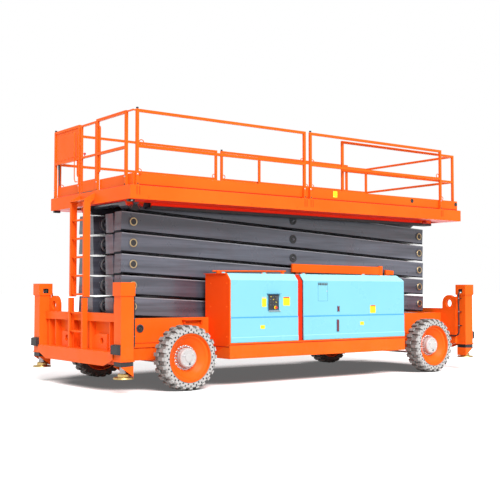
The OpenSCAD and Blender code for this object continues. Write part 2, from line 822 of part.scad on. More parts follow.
module outer_arm(k) {
  reach = k == 6 ? girder_y0 + 70 : outer_y1 + 14;
  color(dark) on_outer(k) difference() {
    union() {
      arm_pair(outer_y0, outer_y1, k == 6, false);
      ycyl(0, 0, -reach, reach, pin_r);
      both_y() ycyl(arm_len / 2, 0, inner_y0, outer_y1 + 6, pin_r);
      if (k < 6) both_y() ycyl(0, 0, outer_y1 - 2, outer_y1 + 8, ring_r);
      if (k > 1) both_y() ycyl(arm_len, 0, outer_y1 - 2, outer_y1 + 8, ring_r);
      if (k == 1) both_y() ycyl(arm_len, 0, outer_y0, girder_y1 - 40, pin_r);
      if (k == 1) both_y() ycyl(arm_len, 0, girder_y0 + 15, girder_y1 - 40, roller_r);
    }
    if (k > 1) both_y() ycyl(arm_len, 0, outer_y0 - 10, outer_y1 + 20, bore_r);
  }
}
module inner_1() {
  inner_arm(1);
}
module inner_2() {
  inner_arm(2);
}
module inner_3() {
  inner_arm(3);
}
module inner_4() {
  inner_arm(4);
}
module inner_5() {
  inner_arm(5);
}
module inner_6() {
  inner_arm(6);
}
module outer_1() {
  outer_arm(1);
}
module outer_2() {
  outer_arm(2);
}
module outer_3() {
  outer_arm(3);
}
module outer_4() {
  outer_arm(4);
}
module outer_5() {
  outer_arm(5);
}
module outer_6() {
  outer_arm(6);
}

// Service prop hung on the third outer arm on the left side, lying nearly level, with its clip
module service_prop() {
  face = -outer_y1;
  back = face - 12;
  front = back - 38;
  m = arm_len / 2;
  up = half_d + 4;
  clip = m + prop_len + 160;
  color(orange) on_outer(3) {
    ycyl(m + pin_r, up - 35, back - 20, face, 55);
    translate([m, 0, up]) rotate([0, -0.8 * stow, 0]) {
      box(-60, prop_len, front, back, -prop_h / 2, prop_h / 2);
      box(prop_len - 10, prop_len + 60, front - 6, back + 6, -prop_h / 2 - 15, prop_h / 2 + 15);
    }
    box(clip, clip + 110, back - 10, face, half_d - 90, up + 110);
    box(clip - 10, clip + 190, front, back - 5, up + 30, up + 105);
  }
}

// Lift cylinders between neighbouring inner arms
module on_cyl(k) {
  translate([-pin_x + cyl_a * cos(stow), 0, pivot_z + (k - 1) * level_h + cyl_a * sin(stow)])
    rotate([0, -cyl_ang, 0]) children();
}
module lift_barrel(k) {
  end = cyl_len - fork_in - 90;
  color(steel) on_cyl(k) difference() {
    union() {
      ycyl(0, 0, -60, 60, 82);
      xcyl(40, end, 0, 0, barrel_d / 2);
      xcyl(end - 90, end + 10, 0, 0, barrel_d / 2 + 8);
    }
    ycyl(0, 0, -90, 90, 40 + pin_gap);
    xcyl(140, end - 90, 0, 0, rod_d / 2 + 12);
    xcyl(200, end + 20, 0, 0, rod_d / 2 + pin_gap);
  }
}
module lift_rod(k) {
  color(steel) on_cyl(k) union() {
    xcyl(900, cyl_len - fork_in - 10, 0, 0, rod_d / 2);
    box(cyl_len - fork_in - 40, cyl_len - fork_in, -64, 64, -60, 60);
    both_y() box(cyl_len - fork_in - 5, cyl_len + 60, 37, 64, -55, 55);
    both_y() ycyl(cyl_len, 0, 60, 84, 42);
  }
}
module barrel_low() {
  lift_barrel(1);
}
module rod_low() {
  lift_rod(1);
}
module barrel_high() {
  lift_barrel(4);
}
module rod_high() {
  lift_rod(4);
}

// Platform: deck on closed side channels, toe boards, pivot plates and roller tracks
module side_channel_profile() {
  rect(plat_y - 12, plat_y, plat_z0, seam_z - 8);
  rect(girder_y1 - 5, plat_y - 5, plat_z0, plat_z0 + 12);
  rect(plat_y - 70, plat_y - 5, deck_z, seam_z - 8);
}
module toe_profile() {
  rect(toe_y - 8, toe_y, deck_z, toe_z);
  rect(toe_y - 20, toe_y, toe_z - 8, toe_z);
}
module track_profile() {
  rect(girder_y1 - girder_t, girder_y1, up_track_z - 20, deck_z + 2);
  rect(girder_y0, girder_y1 + 4, up_track_z - 20, up_track_z);
  rect(girder_y1 - 5, girder_y1 + 4, up_track_z - 20, up_track_z + 20);
}
module platform_deck() {
  color(orange) difference() {
    union() {
      box(-plat_x + 5, far_x - 5, -plat_y + 20, plat_y - 20, deck_z, deck_top);
      both_y() {
        along_x(-plat_x, far_x) side_channel_profile();
        along_x(toe_x, far_x - 16) toe_profile();
        along_x(-pin_x + 190, pin_x + roller_r) track_profile();
        along_x(ext_x0 - 70, far_x - 60) rect(ext_y - 70, ext_y - 10, deck_z, ext_z - pin_gap);
        box(-pin_x - 180, -pin_x + 180, girder_y0, girder_y0 + 50, top_z, deck_z + 2);
        ycyl(-pin_x, top_z, girder_y0, girder_y0 + 50, 150);
      }
      for (x = [-plat_x, far_x - 12]) box(x, x + 12, -plat_y, plat_y, plat_z0, seam_z - 8);
      for (x = [-plat_x, far_x - 120]) box(x, x + 120, -plat_y, plat_y, plat_z0, plat_z0 + 12);
      along_x(toe_x, toe_x + 8) rect(-toe_y, gate_y0 - tube_r, deck_z, toe_z);
      along_x(toe_x, toe_x + 8) rect(gate_y1 + tube_r, toe_y, deck_z, toe_z);
    }
    both_y() ycyl(-pin_x, top_z, girder_y0 - 20, girder_y0 + 80, bore_r);
  }
}

// Guard rails of square tube: two sections per side, the ladder end with its panel and gate posts
module tube_x(x0, x1, y, z, r) {
  box(x0, x1, y - r, y + r, z - r, z + r);
}
module tube_y(x, y0, y1, z, r) {
  box(x - r, x + r, y0, y1, z - r, z + r);
}
module tube_z(x, y, z0, z1, r) {
  box(x - r, x + r, y - r, y + r, z0, z1);
}
module rail_section(x0, x1) {
  for (x = [x0, x1]) {
    tube_z(x, rail_y, deck_top, rail_z, tube_r);
    box(x - tube_r - 5, x + tube_r + 5, rail_y - tube_r, rail_y + tube_r + 6, deck_top, deck_top + 60);
  }
  tube_x(x0, x1, rail_y, rail_z - tube_r, tube_r);
  tube_x(x0, x1, rail_y, mid_z, tube_r);
}
// Grab handle of round bar beside a gate post
module grab_handle(y, s) {
  r = 13;
  o = 75;
  z0 = toe_z + 110;
  z1 = rail_z - 110;
  translate([end_rail_x, y, 0]) side_of(s) {
    zcyl(0, o, z0 + 40, z1 - 40, r);
    for (e = [0, 1]) translate([0, o - 40, e ? z1 - 40 : z0 + 40]) rotate([0, 90, 0])
      rotate([0, 0, e ? 90 : 0]) rotate_extrude(angle = 90) translate([40, 0]) circle(r);
    for (z = [z0, z1]) ycyl(0, z, 0, o - 40, r);
  }
}
module platform_rails() {
  xe = end_rail_x;
  zt = rail_z - tube_r;
  color(orange) union() {
    both_y() {
      rail_section(rail_x0, rail_split - split_half);
      rail_section(rail_split + split_half, rail_x1);
    }
    for (y = [bay_y, gate_y0, gate_y1, rail_y]) tube_z(xe, y, deck_top, rail_z - 1, tube_r);
    for (z = [zt, mid_z]) {
      tube_y(xe, bay_y, gate_y0, z, tube_r);
      tube_y(xe, gate_y1, rail_y, z, tube_r);
    }
    tube_y(xe, -rail_y - tube_r, bay_y, zt, 10);
    tube_x(xe, rail_x0, -rail_y, zt, 10);
    tube_x(xe, rail_x0, rail_y, zt, tube_r);
    box(xe - 6, xe + 6, gate_y1 + tube_r - 2, rail_y, mid_z, zt);
    grab_handle(gate_y1, 1);
    grab_handle(gate_y0, -1);
    for (z = [toe_z + 130, mid_z + 200]) {
      box(xe - 8, xe + 8, hinge_gate_y - 6, gate_y1, z - 14, z);
      zcyl(xe, hinge_gate_y, z - 14, z + 58, gate_pin_d / 2);
    }
  }
}
module gate() {
  xe = end_rail_x;
  t = 15;
  er = gate_pin_d / 2 + 7;
  g0 = gate_y0 + tube_r + air + 4;
  g1 = hinge_gate_y - er - 3;
  color(orange) difference() {
    union() {
      for (y = [g0 + t, g1 - t]) tube_z(xe, y, ext_z, rail_z - tube_r, t);
      for (z = [rail_z - tube_r - t, mid_z]) tube_y(xe, g0, g1, z, t);
      box(xe - 5, xe + 5, g0 + 5, g1 - 5, ext_z, toe_z + 20);
      for (z = [toe_z + 130, mid_z + 200]) {
        zcyl(xe, hinge_gate_y, z + pin_gap, z + 50, er);
        box(xe - 8, xe + 8, g1 - 10, hinge_gate_y, z + pin_gap, z + 50);
      }
      xcyl(xe, xe + 45, g0 + t, mid_z + 40, 9);
      tube_z(xe, g0 + t, mid_z, mid_z + 60, 12);
    }
    zcyl(xe, hinge_gate_y, toe_z + 100, rail_z, gate_pin_d / 2 + pin_gap);
  }
}

// Ladder stiles are open channels; the upper ladder hangs from brackets on the platform's end
module stile_profile(x0, d, w) {
  difference() {
    rect(x0, x0 + d, 0, w);
    rect(x0 + 8, x0 + d - 8, 8, w + 1);
  }
}
module stiles(x0, d, z0, z1) {
  w = 50;
  along_z(z0, z1) {
    translate([0, lad_y0]) stile_profile(x0, d, w);
    translate([0, lad_y0 + lad_w]) mirror([0, 1]) stile_profile(x0, d, w);
  }
}
module rung(x, z) {
  ycyl(x, z, lad_y0 + 4, lad_y0 + lad_w - 4, rung_d / 2);
}
module upper_ladder() {
  x0 = -plat_x - lad_out;
  z1 = plat_z0 + 30;
  n = floor((z1 - lad_z0 - 60) / rung_p);
  color(orange) union() {
    stiles(x0, lad_d, lad_z0, z1);
    for (i = [0:n]) rung(x0 + lad_d / 2, lad_z0 + 35 + i * rung_p);
    for (y = [lad_y0, lad_y0 + lad_w - 10]) along_y(y, y + 10)
      polygon([[x0, z1 - 140], [-plat_x, z1 + 60], [-plat_x, deck_z - 20], [x0, z1 + 40]]);
    box(x0, -plat_x, lad_y0 + 5, lad_y0 + lad_w - 5, z1 + 24, z1 + 40);
  }
}
module lower_ladder() {
  d = 80;
  x0 = -bar_x - d;
  z1 = lad_z0 - 15;
  n = floor((z1 - bumper_z1 - 300) / rung_p);
  color(orange) union() {
    stiles(x0, d, bumper_z1, z1);
    for (i = [0:n]) rung(x0 + d / 2, bumper_z1 + 250 + i * rung_p);
  }
}

// Roll-out extension: deck on the main deck, rails inside the main rails
module extension_deck() {
  w = ext_y + 20;
  x1 = far_x - 20;
  lip_z = toe_z - 10;
  color(orange) union() {
    box(ext_x0 - 80, x1, -w, w, ext_z, ext_z + 20);
    both_y() along_x(ext_x0 - 80, x1) {
      rect(w - 6, w, ext_z, lip_z);
      rect(w - 20, w, lip_z - 6, lip_z);
    }
    along_y(-w, w) polygon([[x1 - 6, ext_z], [far_x, ext_z], [far_x, lip_z], [x1 + 4, lip_z],
      [x1 + 4, ext_z + 20], [x1 - 6, ext_z + 20]]);
  }
}
module extension_rails() {
  z0 = ext_z + 20;
  r = tube_r;
  zt = rail_z - ext_drop - r;
  zm = mid_z - tube_r;
  x0 = ext_x0;
  x1 = far_x - 60;
  y = ext_y - r;
  color(orange) union() {
    both_y() {
      for (x = [x0, x1]) tube_z(x, y, z0, zt + r, r);
      for (x = [x0, x1]) box(x - r - 5, x + r + 5, y - r - 6, y + r + 6, z0, z0 + 80);
      for (z = [zm, zt]) tube_x(x0, x1, y, z, r);
    }
    for (z = [zm, zt]) tube_y(x1, -y, y, z, r);
  }
}

chassis_frame();
end_frame_front();
end_frame_rear();
tray_left();
tray_right();
axle_front();
axle_rear();
lower_ladder();
engine();
tanks();
knuckle_fl();
knuckle_fr();
knuckle_rl();
knuckle_rr();
tie_rod_front();
tie_rod_rear();
rim_fl();
rim_fr();
rim_rl();
rim_rr();
tyre_fl();
tyre_fr();
tyre_rl();
tyre_rr();
hood_lf();
hood_lr();
hood_rf();
hood_rr();
leg_fl();
leg_fr();
leg_rl();
leg_rr();
inner_1();
inner_2();
inner_3();
inner_4();
inner_5();
inner_6();
outer_1();
outer_2();
outer_3();
outer_4();
outer_5();
outer_6();
service_prop();
barrel_low();
rod_low();
barrel_high();
rod_high();
platform_deck();
platform_rails();
upper_ladder();
gate();
extension_deck();
extension_rails();
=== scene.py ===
import json
import math

import bmesh
import bpy
from mathutils import Matrix, Vector


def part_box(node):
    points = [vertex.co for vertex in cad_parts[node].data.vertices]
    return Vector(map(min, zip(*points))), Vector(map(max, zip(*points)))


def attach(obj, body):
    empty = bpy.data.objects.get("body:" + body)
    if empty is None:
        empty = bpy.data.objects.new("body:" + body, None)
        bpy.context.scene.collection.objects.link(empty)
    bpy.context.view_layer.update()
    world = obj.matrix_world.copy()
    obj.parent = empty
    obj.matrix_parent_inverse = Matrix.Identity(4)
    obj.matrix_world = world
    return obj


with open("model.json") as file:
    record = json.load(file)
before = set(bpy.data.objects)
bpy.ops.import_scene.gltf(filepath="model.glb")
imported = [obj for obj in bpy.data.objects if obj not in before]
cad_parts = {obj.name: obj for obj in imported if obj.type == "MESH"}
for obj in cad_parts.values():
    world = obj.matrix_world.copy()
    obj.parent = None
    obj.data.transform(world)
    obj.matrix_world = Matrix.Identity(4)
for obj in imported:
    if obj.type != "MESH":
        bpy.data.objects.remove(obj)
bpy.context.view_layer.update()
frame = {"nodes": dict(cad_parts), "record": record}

NODES = frame["nodes"]
SCENE = bpy.context.scene
SIDES = (-1, 1)

# The ladder end is the machine's front
FORWARD = Vector((-1, 0, 0))
REARWARD = Vector((1, 0, 0))
LEFT = Vector((0, -1, 0))
RIGHT = Vector((0, 1, 0))
UP = Vector((0, 0, 1))
ENDS = (("front", -1), ("rear", 1))


# Node materials

class Graph:
    """A material's node tree, with inputs given as values or as sockets."""

    def __init__(self, name):
        self.mat = bpy.data.materials.new(name)
        self.mat.use_nodes = True
        self.tree = self.mat.node_tree
        self.tree.nodes.clear()
        self.co = self.add("TexCoord", out="Object")

    def put(self, socket, value):
        if isinstance(value, bpy.types.NodeSocket):
            self.tree.links.new(value, socket)
        elif socket.type == "RGBA" and len(value) == 3:
            socket.default_value = (*value, 1.0)
        else:
            socket.default_value = value

    def add(self, kind, out=0, **inputs):
        """Makes a node and gives back one of its outputs.

        A lower-case name sets a property, I0 and so on an input by its place, any other an input by name.
        """
        node = self.tree.nodes.new("ShaderNode" + kind)
        for key, value in inputs.items():
            if key[0].islower():
                setattr(node, key, value)
            elif key[0] == "I" and key[1:].isdigit():
                self.put(node.inputs[int(key[1:])], value)
            else:
                self.put(node.inputs[key.replace("_", " ")], value)
        return node.outputs[out]

    def math(self, op, a, b=0.0):
        return self.add("Math", operation=op, I0=a, I1=b)

    def mix(self, fac, a, b):
        """A mix of two colours, which are the node's seventh and eighth inputs and its third output."""
        return self.add("Mix", out=2, data_type="RGBA", I0=fac, I6=a, I7=b)

    def span(self, value, lo, hi, to_lo=0.0, to_hi=1.0):
        return self.add("MapRange", Value=value, From_Min=lo, From_Max=hi, To_Min=to_lo, To_Max=to_hi)

    def noise(self, scale, detail=3.0, rough=0.55, vec=None):
        vec = self.co if vec is None else vec
        return self.add("TexNoise", Vector=vec, Scale=scale, Detail=detail, Roughness=rough)

    def stretched(self, x, y, z):
        return self.add("Mapping", Vector=self.co, Scale=(x, y, z))

    def bump(self, height, strength, distance, normal=None):
        extra = {} if normal is None else {"Normal": normal}
        return self.add("Bump", Height=height, Strength=strength, Distance=distance, **extra)

    def finish(self, shader):
        out = self.tree.nodes.new("ShaderNodeOutputMaterial")
        self.tree.links.new(shader, out.inputs["Surface"])
        return self.mat

    def done(self, **inputs):
        return self.finish(self.add("BsdfPrincipled", **inputs))


def paint(name, colour, dark, rough=0.34, wear=(0.30, 0.25, 0.22), dirt=0.12, coat=0.15, spec=0.35,
          painted_sheen=None):
    """Sprayed enamel: drifting tone, orange peel, rubbed edges, dust low down and on top faces."""
    g = Graph(name)
    tone = g.mix(g.span(g.noise(0.9, 4.0), 0.35, 0.7), dark, colour)
    # Painted sheen: lighter bands along the surface, and reddish patches of painted reflection.
    if painted_sheen:
        sheen_tone, reflected_red = painted_sheen
        lines = g.noise(1.0, 4.0, 0.6, vec=g.stretched(0.45, 1.0, 9.0))
        tone = g.mix(g.span(lines, 0.40, 0.72), tone, sheen_tone)
        patches = g.noise(1.0, 2.0, 0.5, vec=g.stretched(1.3, 1.0, 0.5))
        tone = g.mix(g.span(patches, 0.55, 0.75, 0.0, 0.45), tone, reflected_red)
    tone = g.mix(g.span(g.noise(6.5, 5.0, 0.62), 0.55, 0.78, 0.0, 0.18), tone, dark)
    facing = g.add("NewGeometry", out="Normal")
    up = g.add("SeparateXYZ", out="Z", Vector=facing)
    height = g.add("SeparateXYZ", out="Z", Vector=g.co)
    dust = g.math("MULTIPLY", g.span(up, 0.6, 1.0), g.span(g.noise(11.0, 5.0), 0.4, 0.75, 0.0, dirt))
    splashes = g.span(g.noise(9.0, 6.0, 0.7), 0.45, 0.8, 0.0, dirt)
    low = g.math("MULTIPLY", g.span(height, 1.1, 0.25), splashes)
    soil = g.math("MAXIMUM", dust, low)
    tone = g.mix(soil, tone, (0.40, 0.33, 0.27))
    streak = g.noise(1.0, 4.0, 0.6, vec=g.stretched(16.0, 16.0, 0.8))
    tone = g.mix(g.span(streak, 0.6, 0.8, 0.0, 0.12), tone, dark)
    rounded = g.add("Bevel", samples=4, Radius=0.006)
    turn = g.add("VectorMath", operation="DOT_PRODUCT", out="Value", I0=rounded, I1=facing)
    chips = g.span(g.noise(34.0, 6.0, 0.7), 0.56, 0.70, 0.0, 0.35)
    rubbed = g.math("MULTIPLY", g.span(turn, 0.985, 0.90), chips)
    tone = g.mix(rubbed, tone, wear)
    uneven = g.span(g.noise(3.0, 4.0), 0.3, 0.7, rough - 0.06, rough + 0.09)
    gloss = g.math("ADD", uneven, g.math("MULTIPLY", soil, 0.6))
    skin = g.bump(g.noise(330.0, 2.0), 0.05, 0.0008)
    skin = g.bump(g.noise(1.7, 2.0), 0.10, 0.006, normal=skin)
    return g.done(Base_Color=tone, Roughness=gloss, Normal=skin, Coat_Weight=coat, Coat_Roughness=0.14,
                  Specular_IOR_Level=spec)


def metal(name, colour, dark, rough, lines=(240.0, 240.0, 240.0), depth=0.1):
    """Bare or plated metal with fine machining lines and dull spots."""
    g = Graph(name)
    tone = g.mix(g.span(g.noise(14.0, 5.0, 0.65), 0.35, 0.7), dark, colour)
    tone = g.mix(g.span(g.noise(85.0, 4.0, 0.7), 0.6, 0.75, 0.0, 0.5), tone, dark)
    grain = g.noise(1.0, 3.0, 0.6, vec=g.stretched(*lines))
    gloss = g.span(grain, 0.3, 0.7, rough - 0.08, rough + 0.12)
    return g.done(Base_Color=tone, Metallic=1.0, Roughness=gloss, Normal=g.bump(grain, depth, 0.0006))


def rubber(name, colour, dark, rough=0.75, grain=160.0, soil=None):
    """Moulded rubber with a matt, slightly uneven skin; a tread darker in patches and with painted shade in
    its grooves.
    """
    g = Graph(name)
    tone = g.mix(g.span(g.noise(7.0, 5.0, 0.65), 0.35, 0.7), dark, colour)
    tone = g.mix(g.span(g.noise(60.0, 4.0, 0.7), 0.55, 0.72, 0.0, 0.4), tone, dark)
    if soil:
        facing = g.add("NewGeometry", out="Normal")
        across = g.math("ABSOLUTE", g.add("SeparateXYZ", out="Y", Vector=facing))
        patches = g.span(g.noise(9.0, 5.0), 0.3, 0.7, 0.35, 0.75)
        rolled = g.math("MULTIPLY", g.span(across, 0.75, 0.35), patches)
        tone = g.mix(rolled, tone, soil)
        # Painted shade: the tread darker where its grooves close in, from ambient occlusion.
        ao_shade = g.add("AmbientOcclusion", out="AO", samples=8, Distance=0.07)
        tone = g.mix(g.span(ao_shade, 0.75, 0.30, 0.0, 0.9), tone, soil)
    fine = g.noise(grain, 4.0, 0.65)
    gloss = g.span(fine, 0.3, 0.7, rough - 0.1, rough + 0.12)
    return g.done(Base_Color=tone, Roughness=gloss, Normal=g.bump(fine, 0.35, 0.0015))


def tread_plate(name, colour, dark):
    """Raised-bar floor plate: crossed short bars over worn metal paint."""
    g = Graph(name)
    bars = []
    for slant in (45, -45):
        along_bars = g.add("Mapping", Vector=g.co, Rotation=(0, 0, math.radians(slant)), Scale=(1, 0.35, 1))
        bars.append(g.add("TexWave", Vector=along_bars, Scale=9.0, Distortion=0.0, wave_profile="SIN"))
    raised = g.span(g.math("MAXIMUM", *bars), 0.82, 0.95)
    tone = g.mix(g.span(g.noise(3.0, 6.0, 0.7), 0.35, 0.7), dark, colour)
    tone = g.mix(g.math("MULTIPLY", raised, 0.35), tone, (0.55, 0.55, 0.56))
    gloss = g.span(g.noise(8.0, 5.0), 0.3, 0.7, 0.42, 0.62)
    return g.done(Base_Color=tone, Roughness=gloss, Metallic=0.25, Normal=g.bump(raised, 0.5, 0.004))


ORANGE = paint("paint_orange", (0.96, 0.140, 0.012), (0.92, 0.116, 0.008), dirt=0.06, coat=0.0, spec=0.09)
# A dark red standing for shaded orange: painted shadow lines and a block of painted shade.
SHADOW_RED = paint("paint_shadow_red", (0.52, 0.022, 0.006), (0.42, 0.016, 0.005), coat=0.0, spec=0.1)
# A deep red standing for the orange in shade: painted shade under the platform, in slots, seams and the
# divider.
DEEP_SHADE_RED = paint("paint_deep_shade_red", (0.95, 0.030, 0.005), (0.90, 0.024, 0.004), dirt=0.03, coat=0.0,
                   spec=0.12)
# A redder orange, for painted shade on the trays' end walls.
ORANGE_SHADED = paint("paint_orange_shaded", (0.96, 0.086, 0.006), (0.92, 0.072, 0.005), dirt=0.06, coat=0.0, spec=0.07)
CYAN = paint("paint_pale_blue", (0.208, 0.55, 0.65), (0.197, 0.53, 0.63), rough=0.3, wear=(0.5, 0.55, 0.56),
             dirt=0.03)
# The arms' grey carries a painted sheen: light bands and reddish patches of painted reflection.
GREY = paint("paint_dark_grey", (0.054, 0.057, 0.076), (0.040, 0.042, 0.058), rough=0.30,
             wear=(0.15, 0.15, 0.17), coat=0.45, spec=0.5,
             painted_sheen=((0.115, 0.124, 0.160), (0.078, 0.044, 0.050)))
# A painted highlight, for the upper edges of the arms.
GREY_HIGHLIGHT = paint("paint_grey_highlight", (0.32, 0.33, 0.36), (0.24, 0.245, 0.27), rough=0.30, coat=0.3)
# Painted shadow in black, for the lower edges of the arms.
SHADE = paint("paint_black_shadow", (0.008, 0.008, 0.010), (0.005, 0.005, 0.006), rough=0.6,
              wear=(0.02, 0.02, 0.02), dirt=0.01, coat=0.0, spec=0.05)
SILVER = paint("paint_silver", (0.58, 0.57, 0.56), (0.47, 0.46, 0.455), rough=0.4, wear=(0.4, 0.4, 0.4),
               coat=0.05)
YELLOW = paint("paint_yellow", (0.95, 0.80, 0.012), (0.92, 0.74, 0.010), dirt=0.04)
RED = paint("paint_red", (0.70, 0.02, 0.02), (0.58, 0.015, 0.015), rough=0.28, dirt=0.03)
MAROON = paint("paint_maroon", (0.16, 0.018, 0.028), (0.11, 0.012, 0.020), dirt=0.03)
SEAM = paint("paint_deep_blue", (0.05, 0.24, 0.42), (0.04, 0.18, 0.34), dirt=0.03)
# Painted highlight in pale blue, for the hoods' upward slopes and lower hem.
PALE_HIGHLIGHT = paint("paint_pale_blue_highlight", (0.33, 0.68, 0.76), (0.30, 0.64, 0.72), rough=0.3,
             wear=(0.5, 0.55, 0.56), dirt=0.03)
# Painted shade in blue, for the hoods' crease.
CREASE_SHADE = paint("paint_blue_crease_shade", (0.06, 0.36, 0.74), (0.05, 0.31, 0.66), dirt=0.03)
MACHINE = paint("paint_engine", (0.09, 0.10, 0.11), (0.05, 0.055, 0.06), rough=0.45, dirt=0.2)
STEEL = metal("steel_zinc", (0.66, 0.67, 0.69), (0.46, 0.46, 0.47), 0.32)
DARK_STEEL = metal("steel_blackened", (0.16, 0.16, 0.18), (0.09, 0.09, 0.10), 0.42)
ROD = metal("rod_steel", (0.40, 0.38, 0.38), (0.28, 0.26, 0.26), 0.30)
CHROME = metal("chrome_rod", (0.86, 0.87, 0.89), (0.74, 0.75, 0.77), 0.14,
               lines=(30.0, 30.0, 700.0), depth=0.03)
GOLD = metal("plated_yellow", (0.62, 0.45, 0.19), (0.40, 0.27, 0.10), 0.34)
RING = metal("plated_pale", (0.60, 0.48, 0.29), (0.38, 0.28, 0.15), 0.34)
# Its soil colour darkens the tread in patches and gives the painted shade in the grooves.
TYRE = rubber("tyre_pale", (0.52, 0.51, 0.50), (0.41, 0.40, 0.39), soil=(0.085, 0.075, 0.066))
# Painted shade for the tyres' inner walls.
TYRE_BACK_SHADE = rubber("tyre_back_shade", (0.085, 0.078, 0.070), (0.050, 0.046, 0.042))
HOSE = rubber("hose_black", (0.13, 0.13, 0.14), (0.075, 0.075, 0.08), rough=0.36)
BLACK = rubber("rubber_black", (0.022, 0.022, 0.024), (0.012, 0.012, 0.013), rough=0.6)
PANEL = rubber("panel_black", (0.03, 0.031, 0.034), (0.018, 0.018, 0.02), rough=0.35, grain=420.0)
TREAD = tread_plate("tread_plate", (0.17, 0.17, 0.175), (0.09, 0.09, 0.095))
SKIN = {"orange": ORANGE, "dark": GREY, "cyan": CYAN, "steel": STEEL, "brass": GOLD, "tyre": TYRE}


# Small shapes

def along(at, axis):
    """A place whose local Z runs along axis."""
    turn = Vector(axis).to_track_quat("Z", "Y").to_matrix().to_4x4()
    return Matrix.Translation(at) @ turn


def corner(axis, out, first, second):
    """A block corner as three signs: one along an axis, two along the axes that follow it."""
    signs = [0, 0, 0]
    signs[axis] = out
    signs[(axis + 1) % 3] = first
    signs[(axis + 2) % 3] = second
    return tuple(signs)


def tube_faces(rings, steps):
    """Faces that join rings of vertices into a tube and close its two ends."""
    faces = []
    for j in range(rings - 1):
        for i in range(steps):
            n = (i + 1) % steps
            faces.append([j * steps + i, j * steps + n, (j + 1) * steps + n, (j + 1) * steps + i])
    faces.append(list(range(steps))[::-1])
    faces.append([(rings - 1) * steps + i for i in range(steps)])
    return faces


class Kit:
    """Small shapes gathered into one mesh that rides one body."""

    def __init__(self, name, body):
        self.name = name
        self.body = body
        self.verts = []
        self.faces = []
        self.picks = []
        self.mats = []

    def add(self, verts, faces, mat, place=Matrix()):
        base = len(self.verts)
        self.verts += [place @ Vector(v) for v in verts]
        self.faces += [[base + i for i in f] for f in faces]
        if mat not in self.mats:
            self.mats.append(mat)
        self.picks += [self.mats.index(mat)] * len(faces)

    def block(self, centre, size, mat, cut=0.003, place=Matrix()):
        """A block with its twelve edges cut off."""
        half = Vector(size) / 2
        cut = min(cut, min(half) * 0.6)
        corners = [(x, y, z) for x in SIDES for y in SIDES for z in SIDES]
        ids = {(s, a): i * 3 + a for i, s in enumerate(corners) for a in range(3)}
        verts = []
        for s in corners:
            for a in range(3):
                verts.append([s[k] * (half[k] - (0 if k == a else cut)) for k in range(3)])
        faces = [[ids[s, a] for a in range(3)] for s in corners]
        for a in range(3):
            u = (a + 1) % 3
            for out in SIDES:
                around = ((-1, -1), (1, -1), (1, 1), (-1, 1))
                faces.append([ids[corner(a, out, *pair), a] for pair in around])
                for first in SIDES:
                    p = corner(a, out, first, -1)
                    q = corner(a, out, first, 1)
                    faces.append([ids[p, a], ids[q, a], ids[q, u], ids[p, u]])
        self.add(verts, faces, mat, Matrix.Translation(centre) @ place)

    def turned(self, at, axis, profile, mat, steps=24):
        """A profile of (radius, height) turned about an axis."""
        verts = []
        for r, h in profile:
            for i in range(steps):
                t = math.tau * i / steps
                verts.append((r * math.cos(t), r * math.sin(t), h))
        self.add(verts, tube_faces(len(profile), steps), mat, along(at, axis))

    def bolt(self, at, axis, size, mat=STEEL):
        """A washer and a hexagon head of that half width."""
        washer = [(size * 1.3, -0.001), (size * 1.3, size * 0.22), (size * 1.2, size * 0.3)]
        head = [(size, size * 0.2), (size, size * 0.95), (size * 0.86, size * 1.12)]
        self.turned(at, axis, washer, mat, 14)
        self.turned(at, axis, head, mat, 6)

    def pipe(self, points, radius, mat):
        """A round bar through the given points."""
        sides = 10
        points = [Vector(p) for p in points]
        last = len(points) - 1
        verts = []
        up = None
        for i, p in enumerate(points):
            ahead = (points[min(i + 1, last)] - points[max(i - 1, 0)]).normalized()
            if up is None:
                up = ahead.orthogonal().normalized()
            up = (up - ahead * up.dot(ahead)).normalized()
            side = ahead.cross(up)
            for k in range(sides):
                a = math.tau * k / sides
                verts.append(p + radius * (math.cos(a) * up + math.sin(a) * side))
        self.add(verts, tube_faces(len(points), sides), mat)

    def loop(self, at, axis, radius, wire, mat):
        """A ring of round wire."""
        steps = 20
        sides = 8
        verts = []
        faces = []
        for i in range(steps):
            t = math.tau * i / steps
            for k in range(sides):
                a = math.tau * k / sides
                r = radius + wire * math.cos(a)
                verts.append((r * math.cos(t), r * math.sin(t), wire * math.sin(a)))
        for i in range(steps):
            n = (i + 1) % steps
            for k in range(sides):
                m = (k + 1) % sides
                faces.append([i * sides + k, n * sides + k, n * sides + m, i * sides + m])
        self.add(verts, faces, mat, along(at, axis))

    def plate(self, centre, w, h, mat, head=None, rivets=True):
        """A thin blank plate, w wide and h tall, on a face of the machine's left side."""
        centre = Vector(centre)
        rise = LEFT.cross(REARWARD)
        turn = Matrix((REARWARD, rise, LEFT)).transposed().to_4x4()
        self.block(centre + LEFT * 0.001, (w, h, 0.003), mat, 0.001, turn)
        if head:
            band = centre + LEFT * 0.002 + rise * h * 0.42
            self.block(band, (w * 0.96, h * 0.13, 0.003), head, 0.001, turn)
        if rivets:
            inset = 0.008
            rivet = [(0.004, 0.001), (0.004, 0.004), (0.002, 0.0055)]
            for sx in SIDES:
                for sz in SIDES:
                    at = centre + REARWARD * sx * (w / 2 - inset) + rise * sz * (h / 2 - inset)
                    self.turned(at, LEFT, rivet, STEEL, 8)

    def done(self):
        mesh = bpy.data.meshes.new(self.name)
        mesh.from_pydata(self.verts, [], self.faces)
        for mat in self.mats:
            mesh.materials.append(mat)
        mesh.polygons.foreach_set("material_index", self.picks)
        work = bmesh.new()
        work.from_mesh(mesh)
        bmesh.ops.recalc_face_normals(work, faces=work.faces)
        work.to_mesh(mesh)
        work.free()
        mesh.shade_smooth()
        mesh.set_sharp_from_angle(angle=math.radians(35))
        obj = bpy.data.objects.new(self.name, mesh)
        SCENE.collection.objects.link(obj)
        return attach(obj, self.body)


# Places on the CAD nodes, in metres

